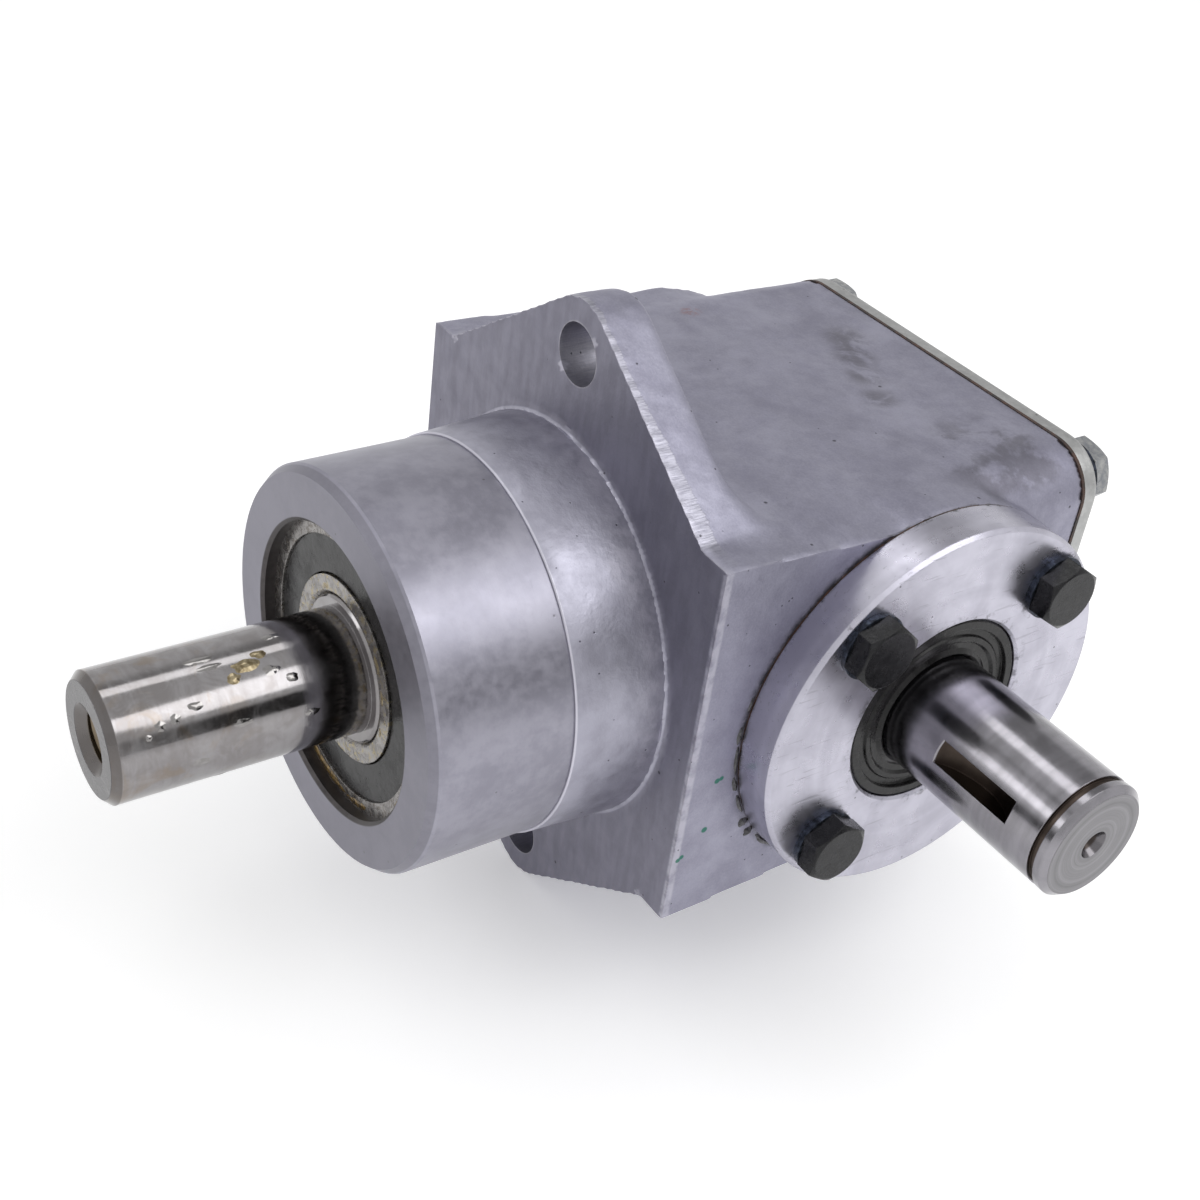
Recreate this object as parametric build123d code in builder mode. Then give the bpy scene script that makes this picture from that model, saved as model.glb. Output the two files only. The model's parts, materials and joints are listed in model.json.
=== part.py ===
"""Right angle gearbox with a plain front shaft, a keyed side shaft and a pair of mitre gears.

Millimetres. The origin is on the front shaft's axis at the front face of the bolting flange.
-Y is the way the front shaft leaves, +X the way the keyed side shaft leaves, +Z is up.
"""
from build123d import *
from math import acos, asin, atan, atan2, cos, hypot, pi, radians, sin, tan
import os

# Shafts
shaft_diameter = 25.4
front_shaft_reach = 47.4
side_shaft_reach = 43.3
front_end_chamfer = 1.5
side_end_chamfer = 1.3
front_seat_diameter = 30.0
front_collar_diameter = 36.0
pinion_seat_diameter = 22.0
seat_shoulder = 0.2
seat_chamfer = 0.5
pinion_seat_chamfer = 0.8
front_tapped_diameter = 10.4
front_countersink_diameter = 14.0
front_tapped_depth = 28.0
side_centre_diameter = 3.6
side_countersink_diameter = 6.2
side_centre_depth = 9.0

# Keyseat and groove of the side shaft
keyseat_width = 5.1
keyseat_cutter_diameter = 22.2
keyseat_depth = 6.2
keyseat_from_end = 21.0
keyseat_angle = 163.4
end_groove_from_end = 2.7
end_groove_width = 1.5
end_groove_depth = 0.8

# Front boss of the housing
boss_diameter = 81.8
boss_reach = 49.7
boss_chamfer_length = 2.0
boss_chamfer_height = 1.5
turned_length = 29.9
neck_step = 0.5
neck_root_diameter = 85.2
neck_fillet = 0.5
recess_diameter = 60.0
recess_depth = 3.0
recess_chamfer = 0.7

# Body and flange of the housing
flange_width = 104.0
flange_height = 84.8
body_length = 96.3
body_side_draft = 2.55
body_top_draft = 0.7
body_corner_radius = 10.9
pad_depth = 11.6
pad_flank_to_axis = 14.0
pad_draft_angle = 3.6
far_boss_diameter = 82.6
cavity_wall = 7.7
cavity_corner_radius = 14.0
bearing_shoulder = 2.0
side_bearing_depth = 3.0

# Bolting lugs
lug_hole_spacing = 119.0
lug_hole_diameter = 12.5
lug_radius = 11.2
lug_foot_inset = 7.8
flange_thickness = 12.0
lug_root_fillet = 8.0

# Covers
cover_diameter = 84.6
cover_thickness = 9.0
cover_rim_chamfer = 0.8
side_gasket_thickness = 0.5
back_gasket_thickness = 0.8
back_cover_thickness = 4.0
back_cover_edge_round = 1.0
gasket_overhang = 0.15
spigot_clearance = 0.03
spigot_bore = 40.0
seal_shoulder = 1.5

# Bolts and spring washers
bolt_diameter = 7.8
bolt_thread_hole = 8.0
bolt_clearance_hole = 8.6
bolt_head_width = 12.7
bolt_head_height = 4.4
bolt_head_flat = 12.1
bolt_tip_chamfer = 0.8
thread_engagement = 11.0
bolt_tip_gap = 1.5
washer_outer_diameter = 14.0
washer_thickness = 1.3
washer_slit = 1.0
side_bolt_circle = 68.2
side_bolt_angles = (45, 135, 225, 315)
side_bolt_turns = (25, 17, 28, 5)
back_bolt_edge_x = 8.95
back_bolt_edge_z = 8.7
back_bolt_turns = (12, 40, 3, 22)

# Oil seal of the side shaft
seal_outer_diameter = 42.8
seal_width = 7.2
seal_recess = 0.6
seal_bore_chamfer = 0.6
seal_lip_clearance = 0.05
seal_track_depth = 0.25
seal_case_thickness = 1.0
seal_case_setback = 1.6
seal_case_lip_gap = 3.4
seal_lip_thickness = 2.2
seal_spring_radius = 0.8

# Ball bearings: bore, outer diameter, width, ball diameter and number of balls
front_bearing_size = (30.0, 62.0, 16.0, 9.525, 9)
side_bearing_size = (25.4, 52.0, 15.0, 7.938, 9)
ring_land_share = 0.25
race_clearance = 0.06
ring_corner_chamfer = 0.8
cage_thickness = 2.6
cage_side_wall = 1.1
pocket_clearance = 0.12
bearing_seal_thickness = 0.8
bearing_seal_setback = 0.5
bearing_seal_gap = 0.3

# Mitre gears
gear_module = 2.75
gear_teeth = 18
pressure_angle = 20.0
face_width = 9.5
tooth_thinning = 0.12
root_clearance = 0.69
rim_thickness = 2.0
pinion_mounting_distance = 36.0
gear_front_distance = 19.0
gear_front_hub_diameter = 30.0
pinion_back_hub_diameter = 36.0
gear_back_hub_diameter = 32.4

# Keys, circlips, sleeve and shim
pinion_key_width = 6.0
side_key_width = 6.35
key_end_gap = 1.5
key_top_gap = 0.2
circlip_thickness = 1.2
circlip_groove_depth = 0.6
circlip_width = 3.6
circlip_opening_angle = 38.0
circlip_side_gap = 0.05
housing_circlip_thickness = 2.0
housing_circlip_depth = 1.5
housing_circlip_width = 4.6
housing_circlip_land = 1.0
sleeve_wall = 3.0
shim_thickness = 0.6
shim_width = 3.4
shim_clearance = 0.1
shaft_tip_gap = 2.8
shaft_end_gap = 0.6

# Radii used by more than one piece
shaft_radius = shaft_diameter / 2
front_seat_radius = front_seat_diameter / 2
pinion_seat_radius = pinion_seat_diameter / 2
side_groove_radius = shaft_radius - circlip_groove_depth
seal_track_radius = shaft_radius - seal_track_depth
pinion_groove_radius = pinion_seat_radius - circlip_groove_depth
front_bore_radius = front_bearing_size[1] / 2
side_bore_radius = side_bearing_size[1] / 2
housing_groove_radius = front_bore_radius + housing_circlip_depth

# Back end of the body and the bolts of its cover
back_width = flange_width - 2 * body_side_draft
back_height = flange_height - 2 * body_top_draft
back_bolt_spacing_x = back_width - 2 * back_bolt_edge_x
back_bolt_spacing_z = back_height - 2 * back_bolt_edge_z

# Places along the front shaft's axis. The side cover's rim is level with the body's back end.
side_axis_y = body_length - cover_diameter / 2
boss_face_y = -boss_reach
front_shaft_end_y = boss_face_y - front_shaft_reach
front_bearing_y = boss_face_y + recess_depth
front_bearing_back_y = front_bearing_y + front_bearing_size[2]
rear_bearing_back_y = side_axis_y - pinion_mounting_distance
rear_bearing_y = rear_bearing_back_y - front_bearing_size[2]
cavity_front_y = rear_bearing_back_y + housing_circlip_thickness + housing_circlip_land
pinion_clip_y = side_axis_y - gear_front_distance + circlip_side_gap
front_shaft_tip_y = side_axis_y - shaft_radius - shaft_tip_gap
back_cover_y = body_length + back_gasket_thickness
back_face_y = back_cover_y + back_cover_thickness

# Places along the side shaft's axis
pad_face_x = flange_width / 2
pad_root_x = pad_face_x - pad_depth
near_bearing_back_x = pad_face_x - side_bearing_depth
near_bearing_x = near_bearing_back_x - side_bearing_size[2]
gear_mounting_distance = near_bearing_x
far_bearing_x = -near_bearing_back_x
far_bore_end_x = far_bearing_x - shim_thickness
cavity_half_width = near_bearing_x - bearing_shoulder
cavity_half_height = back_height / 2 - cavity_wall
gear_clip_x = gear_front_distance - circlip_side_gap - circlip_thickness
near_clip_x = near_bearing_back_x + circlip_side_gap
cover_seat_x = pad_face_x + side_gasket_thickness
cover_face_x = cover_seat_x + cover_thickness
side_shaft_end_x = cover_face_x + side_shaft_reach
side_shaft_tip_x = far_bearing_x + shaft_end_gap

# Planes across the two shafts: their normals run along the axes, towards +Y and +X
front_axis_plane = Plane(origin=(0, 0, 0), x_dir=(1, 0, 0), z_dir=(0, 1, 0))
side_axis_plane = Plane(origin=(0, side_axis_y, 0), x_dir=(0, 1, 0), z_dir=(1, 0, 0))


def turned(points, plane):
    """Solid turned about the plane's normal from (radius, distance along the normal) points."""
    section = Plane(origin=plane.origin, x_dir=plane.x_dir, z_dir=-plane.y_dir)
    with BuildPart() as blank:
        with BuildSketch(section):
            with BuildLine():
                Polyline(*points, close=True)
            make_face()
        revolve(axis=Axis(plane.origin, plane.z_dir))
    return blank.part


def ring(inner, outer, start, end, plane):
    """Plain ring between two radii and two distances along the plane's normal."""
    return turned([(inner, start), (outer, start), (outer, end), (inner, end)], plane)


def block(centre, size, base_z, height):
    """Upright block on a rectangle of the XY plane."""
    with BuildPart() as body:
        with BuildSketch(Plane.XY.offset(base_z)):
            with Locations(centre):
                Rectangle(*size)
        extrude(amount=height)
    return body.part


def facing_front(y):
    """Plane across the front shaft at y, seen from the front: local x is X and local y is Z."""
    return Plane.XZ.offset(-y)


def facing_side(x):
    """Plane across the side shaft at x, centred on it: local x is Y and local y is Z."""
    return side_axis_plane.offset(x)


pieces = {}

# Housing: lugs


def tangent_point(foot_x, foot_z, centre_z, radius):
    """Point where the line from a lug's foot touches its round top."""
    reach = hypot(foot_x, centre_z - foot_z)
    direction = atan2(centre_z - foot_z, -foot_x) - asin(radius / reach)
    length = (reach * reach - radius * radius) ** 0.5
    return foot_x + length * cos(direction), foot_z + length * sin(direction)


def lug(side):
    """Upper lug, or the lower one with side -1. Its back runs into the body through a large fillet."""
    foot_x = flange_width / 2 - lug_foot_inset
    foot_z = side * flange_height / 2
    centre_z = lug_hole_spacing / 2
    touch_x, touch_z = tangent_point(foot_x, flange_height / 2, centre_z, lug_radius)
    left = (-touch_x, side * touch_z)
    right = (touch_x, side * touch_z)
    top = (0, side * (centre_z + lug_radius))
    root_z = flange_height / 2 - 0.3
    back_y = flange_thickness + lug_root_fillet
    above_z = centre_z + lug_radius + 1.0
    arc_step = lug_root_fillet * (1 - cos(pi / 4))
    arc_top = (flange_thickness, side * (root_z + lug_root_fillet))
    arc_middle = (flange_thickness + arc_step, side * (root_z + arc_step))
    arc_foot = (back_y, side * root_z)
    with BuildPart() as tab:
        with BuildSketch(facing_front(0)):
            with BuildLine():
                Polyline(left, (-foot_x, foot_z), (-foot_x, 0), (foot_x, 0), (foot_x, foot_z), right)
                ThreePointArc(right, top, left)
            make_face()
        extrude(amount=-back_y)
        with BuildSketch(Plane.YZ):
            with BuildLine():
                Polyline(arc_foot, (back_y, 0), (0, 0), (0, side * above_z), (flange_thickness, side * above_z),
                         arc_top)
                ThreePointArc(arc_top, arc_middle, arc_foot)
            make_face()
        extrude(amount=flange_width, both=True, mode=Mode.INTERSECT)
    return tab.part


def side_pad(side):
    """Sharp-edged pad from the flange to the side shaft's boss, at +X, or at -X with side -1."""
    flank_length = side_axis_y - pad_flank_to_axis
    drop = flank_length * tan(radians(pad_draft_angle))
    front_z = flange_height / 2
    inner_z = front_z - body_top_draft * flank_length / body_length
    inner_x = side * pad_root_x
    outer_x = side * pad_face_x
    with BuildPart() as pad:
        with BuildSketch(facing_front(0)):
            with BuildLine():
                Polyline((inner_x, -front_z), (outer_x, -front_z), (outer_x, front_z), (inner_x, front_z),
                         close=True)
            make_face()
        with BuildSketch(facing_front(flank_length)):
            with BuildLine():
                Polyline((inner_x, -inner_z), (outer_x, drop - front_z), (outer_x, front_z - drop),
                         (inner_x, inner_z), close=True)
            make_face()
        loft(ruled=True)
    return pad.part


# Housing: boss, body and bores
boss_radius = boss_diameter / 2
neck_radius = neck_root_diameter / 2
recess_radius = recess_diameter / 2
neck = turned([
    (0, boss_face_y),
    (boss_radius - boss_chamfer_height, boss_face_y),
    (boss_radius, boss_face_y + boss_chamfer_length),
    (boss_radius, boss_face_y + turned_length),
    (boss_radius + neck_step, boss_face_y + turned_length),
    (neck_radius, -neck_fillet),
    (neck_radius + neck_fillet, 0),
    (boss_radius, 0),
    (boss_radius, flange_thickness / 2),
    (0, flange_thickness / 2),
], front_axis_plane)
recess_mouth = turned([
    (0, boss_face_y),
    (recess_radius + recess_chamfer, boss_face_y),
    (recess_radius, boss_face_y + recess_chamfer),
    (0, boss_face_y + recess_chamfer),
], front_axis_plane)
housing_groove = ring(front_bore_radius - 1.0, housing_groove_radius, rear_bearing_back_y,
                      rear_bearing_back_y + housing_circlip_thickness + circlip_side_gap, front_axis_plane)
outer_forms = [lug(1), lug(-1), side_pad(1), side_pad(-1), neck]

with BuildPart() as housing:
    with BuildSketch(facing_front(0)):
        RectangleRounded(flange_width, flange_height, body_corner_radius)
    with BuildSketch(facing_front(body_length)):
        RectangleRounded(back_width, back_height, body_corner_radius)
    loft()
    for form in outer_forms:
        add(form)
    with BuildSketch(facing_side(pad_root_x)):
        Circle(cover_diameter / 2)
    extrude(amount=pad_face_x - pad_root_x)
    with BuildSketch(facing_side(-pad_face_x)):
        Circle(far_boss_diameter / 2)
    extrude(amount=pad_face_x - pad_root_x)
    # Bore for the front shaft's bearings, with the recess and its lip in front
    with BuildSketch(facing_front(front_bearing_y)):
        Circle(front_bore_radius)
    extrude(amount=front_bearing_y - cavity_front_y, mode=Mode.SUBTRACT)
    with BuildSketch(facing_front(boss_face_y)):
        Circle(recess_radius)
    extrude(amount=-recess_depth, mode=Mode.SUBTRACT)
    add(recess_mouth, mode=Mode.SUBTRACT)
    add(housing_groove, mode=Mode.SUBTRACT)
    # Gear chamber, open to the back
    with BuildSketch(facing_front(cavity_front_y)):
        RectangleRounded(2 * cavity_half_width, 2 * cavity_half_height, cavity_corner_radius)
    extrude(amount=cavity_front_y - body_length, mode=Mode.SUBTRACT)
    # Side shaft's bearing bores: open at the keyed side, blind at the far side
    with BuildSketch(facing_side(near_bearing_x)):
        Circle(side_bore_radius)
    extrude(amount=pad_face_x - near_bearing_x, mode=Mode.SUBTRACT)
    with BuildSketch(facing_side(0)):
        Circle(side_bore_radius - bearing_shoulder - 0.5)
    extrude(amount=near_bearing_x, mode=Mode.SUBTRACT)
    with BuildSketch(facing_side(far_bore_end_x)):
        Circle(side_bore_radius)
    extrude(amount=-far_bore_end_x - cavity_half_width + 1.0, mode=Mode.SUBTRACT)
    # Lug holes and the covers' tapped holes
    with BuildSketch(facing_front(0)):
        with GridLocations(0, lug_hole_spacing, 1, 2):
            Circle(lug_hole_diameter / 2)
    extrude(amount=-flange_thickness - lug_root_fillet, mode=Mode.SUBTRACT)
    with BuildSketch(facing_side(pad_face_x)):
        with PolarLocations(side_bolt_circle / 2, len(side_bolt_angles), start_angle=side_bolt_angles[0]):
            Circle(bolt_thread_hole / 2)
    extrude(amount=-thread_engagement - bolt_tip_gap, mode=Mode.SUBTRACT)
    with BuildSketch(facing_front(body_length)):
        with GridLocations(back_bolt_spacing_x, back_bolt_spacing_z, 2, 2):
            Circle(bolt_thread_hole / 2)
    extrude(amount=thread_engagement + bolt_tip_gap, mode=Mode.SUBTRACT)
pieces["housing"] = housing.part

# Back cover and its gasket
with BuildPart() as back_cover:
    with BuildSketch(facing_front(back_cover_y)):
        RectangleRounded(back_width, back_height, body_corner_radius)
        with GridLocations(back_bolt_spacing_x, back_bolt_spacing_z, 2, 2):
            Circle(bolt_clearance_hole / 2, mode=Mode.SUBTRACT)
    extrude(amount=-back_cover_thickness)
    fillet(back_cover.faces().sort_by(Axis.Y)[-1].outer_wire().edges(), back_cover_edge_round)
pieces["back_cover"] = back_cover.part

with BuildPart() as back_cover_gasket:
    with BuildSketch(facing_front(body_length)):
        RectangleRounded(back_width + 2 * gasket_overhang, back_height + 2 * gasket_overhang,
                         body_corner_radius + gasket_overhang)
        RectangleRounded(2 * cavity_half_width, 2 * cavity_half_height, cavity_corner_radius, mode=Mode.SUBTRACT)
        with GridLocations(back_bolt_spacing_x, back_bolt_spacing_z, 2, 2):
            Circle(bolt_clearance_hole / 2, mode=Mode.SUBTRACT)
    extrude(amount=-back_gasket_thickness)
pieces["back_cover_gasket"] = back_cover_gasket.part

# Side cover, with the seal's bore and a spigot that holds the bearing
cover_radius = cover_diameter / 2
seal_radius = seal_outer_diameter / 2
spigot_radius = side_bore_radius - spigot_clearance
spigot_bore_radius = spigot_bore / 2
seal_face_x = cover_face_x - seal_recess
seal_seat_x = seal_face_x - seal_width
cover_disc = turned([
    (spigot_bore_radius, near_bearing_back_x),
    (spigot_radius, near_bearing_back_x),
    (spigot_radius, cover_seat_x),
    (cover_radius, cover_seat_x),
    (cover_radius, cover_face_x - cover_rim_chamfer),
    (cover_radius - cover_rim_chamfer, cover_face_x),
    (seal_radius + seal_bore_chamfer, cover_face_x),
    (seal_radius, cover_face_x - seal_bore_chamfer),
    (seal_radius, seal_seat_x),
    (spigot_bore_radius - seal_shoulder, seal_seat_x),
    (spigot_bore_radius - seal_shoulder, seal_seat_x - seal_shoulder),
    (spigot_bore_radius, seal_seat_x - seal_shoulder),
], side_axis_plane)
with BuildPart() as side_cover:
    add(cover_disc)
    with BuildSketch(facing_side(cover_seat_x)):
        with PolarLocations(side_bolt_circle / 2, len(side_bolt_angles), start_angle=side_bolt_angles[0]):
            Circle(bolt_clearance_hole / 2)
    extrude(amount=cover_thickness, mode=Mode.SUBTRACT)
pieces["side_cover"] = side_cover.part

with BuildPart() as side_cover_gasket:
    with BuildSketch(facing_side(pad_face_x)):
        Circle(cover_radius - gasket_overhang)
        Circle(side_bore_radius, mode=Mode.SUBTRACT)
        with PolarLocations(side_bolt_circle / 2, len(side_bolt_angles), start_angle=side_bolt_angles[0]):
            Circle(bolt_clearance_hole / 2, mode=Mode.SUBTRACT)
    extrude(amount=side_gasket_thickness)
pieces["side_cover_gasket"] = side_cover_gasket.part

# Hexagon bolts and split spring washers, made upright at the origin and then set in place


def bolt(grip):
    """Hexagon bolt with its head on the XY plane and its shank below, through the grip and into the thread."""
    corner_radius = bolt_head_width / 2 / cos(pi / 6)
    flat_radius = bolt_head_flat / 2
    drop = (corner_radius - flat_radius) * tan(pi / 6)
    crown = turned([
        (0, 0),
        (corner_radius, 0),
        (corner_radius, bolt_head_height - drop),
        (flat_radius, bolt_head_height),
        (0, bolt_head_height),
    ], Plane.XY)
    with BuildPart() as screw:
        with BuildSketch():
            RegularPolygon(corner_radius, 6)
        extrude(amount=bolt_head_height)
        add(crown, mode=Mode.INTERSECT)
        with BuildSketch():
            Circle(bolt_diameter / 2)
        extrude(amount=-grip - thread_engagement)
        chamfer(screw.edges().filter_by(GeomType.CIRCLE).sort_by(Axis.Z)[0], bolt_tip_chamfer)
    return screw.part


def side_bolt_places(x):
    """Places of the side cover's bolts at x, each turned as it was tightened."""
    places = []
    for angle, turn in zip(side_bolt_angles, side_bolt_turns):
        reach = side_bolt_circle / 2
        centre = (x, side_axis_y + reach * cos(radians(angle)), reach * sin(radians(angle)))
        seat = Plane(origin=centre, x_dir=(0, 1, 0), z_dir=(1, 0, 0))
        places.append(seat.location * Rotation(0, 0, turn))
    return places


def back_bolt_places(y):
    """Places of the back cover's bolts at y, each turned as it was tightened."""
    corners = [(1, 1), (1, -1), (-1, 1), (-1, -1)]
    places = []
    for (side_x, side_z), turn in zip(corners, back_bolt_turns):
        centre = (side_x * back_bolt_spacing_x / 2, y, side_z * back_bolt_spacing_z / 2)
        seat = Plane(origin=centre, x_dir=(-1, 0, 0), z_dir=(0, 1, 0))
        places.append(seat.location * Rotation(0, 0, turn))
    return places


with BuildPart() as spring_washer:
    with BuildSketch():
        Circle(washer_outer_diameter / 2)
        Circle(bolt_clearance_hole / 2, mode=Mode.SUBTRACT)
        with Locations((washer_outer_diameter / 2, 0)):
            Rectangle(washer_outer_diameter, washer_slit, mode=Mode.SUBTRACT)
    extrude(amount=washer_thickness)

side_bolt = bolt(washer_thickness + cover_thickness + side_gasket_thickness)
back_bolt = bolt(washer_thickness + back_cover_thickness + back_gasket_thickness)

with BuildPart() as side_cover_bolts:
    with Locations(*side_bolt_places(cover_face_x + washer_thickness)):
        add(side_bolt)
pieces["side_cover_bolts"] = side_cover_bolts.part

with BuildPart() as side_cover_washers:
    with Locations(*side_bolt_places(cover_face_x)):
        add(spring_washer.part)
pieces["side_cover_washers"] = side_cover_washers.part

with BuildPart() as back_cover_bolts:
    with Locations(*back_bolt_places(back_face_y + washer_thickness)):
        add(back_bolt)
pieces["back_cover_bolts"] = back_cover_bolts.part

with BuildPart() as back_cover_washers:
    with Locations(*back_bolt_places(back_face_y)):
        add(spring_washer.part)
pieces["back_cover_washers"] = back_cover_washers.part

# Oil seal: steel case, rubber body with two lips, garter spring
lip_radius = seal_track_radius + seal_lip_clearance
lip_back_radius = shaft_radius + seal_lip_thickness
case_lip_radius = shaft_radius + seal_case_lip_gap
case_front_x = seal_face_x - seal_case_setback
case_web_x = case_front_x - seal_case_thickness
spring_x = seal_seat_x + 2 * seal_spring_radius
pieces["side_seal_case"] = turned([
    (case_lip_radius, case_web_x),
    (seal_radius - seal_case_thickness, case_web_x),
    (seal_radius - seal_case_thickness, seal_seat_x),
    (seal_radius, seal_seat_x),
    (seal_radius, case_front_x),
    (case_lip_radius, case_front_x),
], side_axis_plane)
pieces["side_seal_lip"] = turned([
    (lip_radius, seal_face_x - 0.9),
    (lip_radius + 0.7, seal_face_x - 0.35),
    (lip_radius + 1.7, seal_face_x - 1.0),
    (lip_radius + 3.0, seal_face_x - 1.0),
    (lip_radius + 3.6, seal_face_x - 0.45),
    (lip_radius + 4.6, seal_face_x - 0.45),
    (lip_radius + 5.0, seal_face_x - 0.9),
    (lip_radius + 6.4, seal_face_x - 0.9),
    (lip_radius + 6.7, seal_face_x),
    (seal_radius - 0.5, seal_face_x),
    (seal_radius, seal_face_x - 0.5),
    (seal_radius, case_front_x),
    (case_lip_radius, case_front_x),
    (case_lip_radius, case_web_x),
    (case_lip_radius + 0.8, case_web_x),
    (lip_back_radius, spring_x + 1.0),
    (lip_back_radius, seal_seat_x + 0.6),
    (lip_radius + 1.0, seal_seat_x + 0.6),
    (lip_radius, spring_x),
    (lip_radius + 1.0, spring_x + 1.6),
    (lip_radius + 1.0, seal_face_x - 1.5),
], side_axis_plane)

with BuildPart(side_axis_plane.offset(spring_x)) as side_seal_spring:
    Torus(lip_back_radius + seal_spring_radius, seal_spring_radius)
pieces["side_seal_spring"] = side_seal_spring.part

# Ball bearings


def bearing(name, size, plane, sealed):
    """Rings, balls, cage and seals of a deep groove bearing that starts on the plane."""
    bore, outer_diameter, width, ball_diameter, ball_count = size
    inner = bore / 2
    outer = outer_diameter / 2
    pitch = (inner + outer) / 2
    land = ring_land_share * (outer - inner)
    corner = ring_corner_chamfer
    ball_radius = ball_diameter / 2
    inner_blank = turned([(inner, corner), (inner + corner, 0), (inner + land, 0), (inner + land, width),
                          (inner + corner, width), (inner, width - corner)], Plane.XY)
    outer_blank = turned([(outer - land, 0), (outer - corner, 0), (outer, corner), (outer, width - corner),
                          (outer - corner, width), (outer - land, width)], Plane.XY)
    half_cage = ball_radius + cage_side_wall
    cage_blank = ring(pitch - cage_thickness / 2, pitch + cage_thickness / 2, width / 2 - half_cage,
                      width / 2 + half_cage, Plane.XY)
    with BuildPart(plane) as inner_ring:
        add(inner_blank)
        with Locations((0, 0, width / 2)):
            Torus(pitch, ball_radius + race_clearance, mode=Mode.SUBTRACT)
    with BuildPart(plane) as outer_ring:
        add(outer_blank)
        with Locations((0, 0, width / 2)):
            Torus(pitch, ball_radius + race_clearance, mode=Mode.SUBTRACT)
    with BuildPart(plane) as balls:
        with Locations((0, 0, width / 2)):
            with PolarLocations(pitch, ball_count):
                Sphere(ball_radius)
    # The cage's pockets are bored through it towards the shaft
    with BuildPart(plane) as cage:
        add(cage_blank)
        with Locations((0, 0, width / 2)):
            with PolarLocations(pitch, ball_count):
                Cylinder(ball_radius + pocket_clearance, 3 * cage_thickness, rotation=(0, 90, 0),
                         mode=Mode.SUBTRACT)
    pieces[name + "_outer_ring"] = outer_ring.part
    pieces[name + "_inner_ring"] = inner_ring.part
    pieces[name + "_cage"] = cage.part
    pieces[name + "_balls"] = balls.part
    if sealed:
        seal_edges = (inner + land + bearing_seal_gap, outer - land)
        front = bearing_seal_setback
        rear = width - bearing_seal_setback - bearing_seal_thickness
        pieces[name + "_front_seal"] = ring(*seal_edges, front, front + bearing_seal_thickness, plane)
        pieces[name + "_rear_seal"] = ring(*seal_edges, rear, rear + bearing_seal_thickness, plane)


bearing("front_bearing", front_bearing_size, front_axis_plane.offset(front_bearing_y), True)
bearing("rear_bearing", front_bearing_size, front_axis_plane.offset(rear_bearing_y), False)
bearing("near_bearing", side_bearing_size, side_axis_plane.offset(near_bearing_x), False)
bearing("far_bearing", side_bearing_size, side_axis_plane.offset(far_bearing_x), False)

pieces["bearing_sleeve"] = ring(front_bore_radius - sleeve_wall, front_bore_radius, front_bearing_back_y,
                                rear_bearing_y, front_axis_plane)
shim_radius = side_bore_radius - shim_clearance
pieces["far_bearing_shim"] = ring(shim_radius - shim_width, shim_radius, far_bore_end_x, far_bearing_x,
                                  side_axis_plane)

# Circlips


def circlip(inner, outer, plane, thickness):
    """Open ring on a plane, with its gap along the plane's local x."""
    half_gap = outer * tan(radians(circlip_opening_angle / 2))
    with BuildPart() as clip:
        with BuildSketch(plane):
            Circle(outer)
            Circle(inner, mode=Mode.SUBTRACT)
            with BuildLine():
                Polyline((0, 0), (outer + 1.0, -half_gap), (outer + 1.0, half_gap), close=True)
            make_face(mode=Mode.SUBTRACT)
        extrude(amount=thickness)
    return clip.part


gear_clip = circlip(side_groove_radius, side_groove_radius + circlip_width, facing_side(gear_clip_x),
                    circlip_thickness)
near_clip = circlip(side_groove_radius, side_groove_radius + circlip_width, facing_side(near_clip_x),
                    circlip_thickness)
with BuildPart() as side_shaft_circlips:
    add(gear_clip)
    add(near_clip)
pieces["side_shaft_circlips"] = side_shaft_circlips.part
pieces["pinion_circlip"] = circlip(pinion_groove_radius, pinion_groove_radius + circlip_width,
                                   front_axis_plane.offset(pinion_clip_y), circlip_thickness)
pieces["housing_circlip"] = circlip(housing_groove_radius - housing_circlip_width, housing_groove_radius,
                                    front_axis_plane.offset(rear_bearing_back_y), housing_circlip_thickness)

# Keys, each half in its shaft and half in its gear
side_key_length = gear_mounting_distance - gear_front_distance - 2 * key_end_gap
side_key_centre = ((gear_mounting_distance + gear_front_distance) / 2, side_axis_y)
side_key_base = shaft_radius - side_key_width / 2
pinion_key_length = pinion_mounting_distance - gear_front_distance - 2 * key_end_gap
pinion_key_centre = (0, side_axis_y - (pinion_mounting_distance + gear_front_distance) / 2)
pinion_key_base = pinion_seat_radius - pinion_key_width / 2
side_key = block(side_key_centre, (side_key_length, side_key_width), side_key_base, side_key_width)
front_key = block(pinion_key_centre, (pinion_key_width, pinion_key_length), pinion_key_base, pinion_key_width)
pieces["side_gear_key"] = side_key
pieces["pinion_key"] = front_key

# Side shaft
groove_outer_x = side_shaft_end_x - end_groove_from_end
groove_inner_x = groove_outer_x - end_groove_width


def groove_points(start, end, floor, surface):
    """Corners of a groove round a shaft."""
    return [(surface, start), (floor, start), (floor, end), (surface, end)]


clip_room = circlip_thickness + 2 * circlip_side_gap
side_shaft_blank = turned([
    (0, side_shaft_tip_x),
    (shaft_radius - side_end_chamfer, side_shaft_tip_x),
    (shaft_radius, side_shaft_tip_x + side_end_chamfer),
    *groove_points(gear_front_distance - clip_room, gear_front_distance, side_groove_radius, shaft_radius),
    (shaft_radius, near_bearing_back_x),
    (side_groove_radius, near_bearing_back_x),
    (side_groove_radius, near_bearing_back_x + clip_room),
    (seal_track_radius, near_bearing_back_x + clip_room),
    (seal_track_radius, cover_face_x),
    (shaft_radius, cover_face_x),
    *groove_points(groove_inner_x, groove_outer_x, shaft_radius - end_groove_depth, shaft_radius),
    (shaft_radius, side_shaft_end_x - side_end_chamfer),
    (shaft_radius - side_end_chamfer, side_shaft_end_x),
    (0, side_shaft_end_x),
], side_axis_plane)
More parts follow.
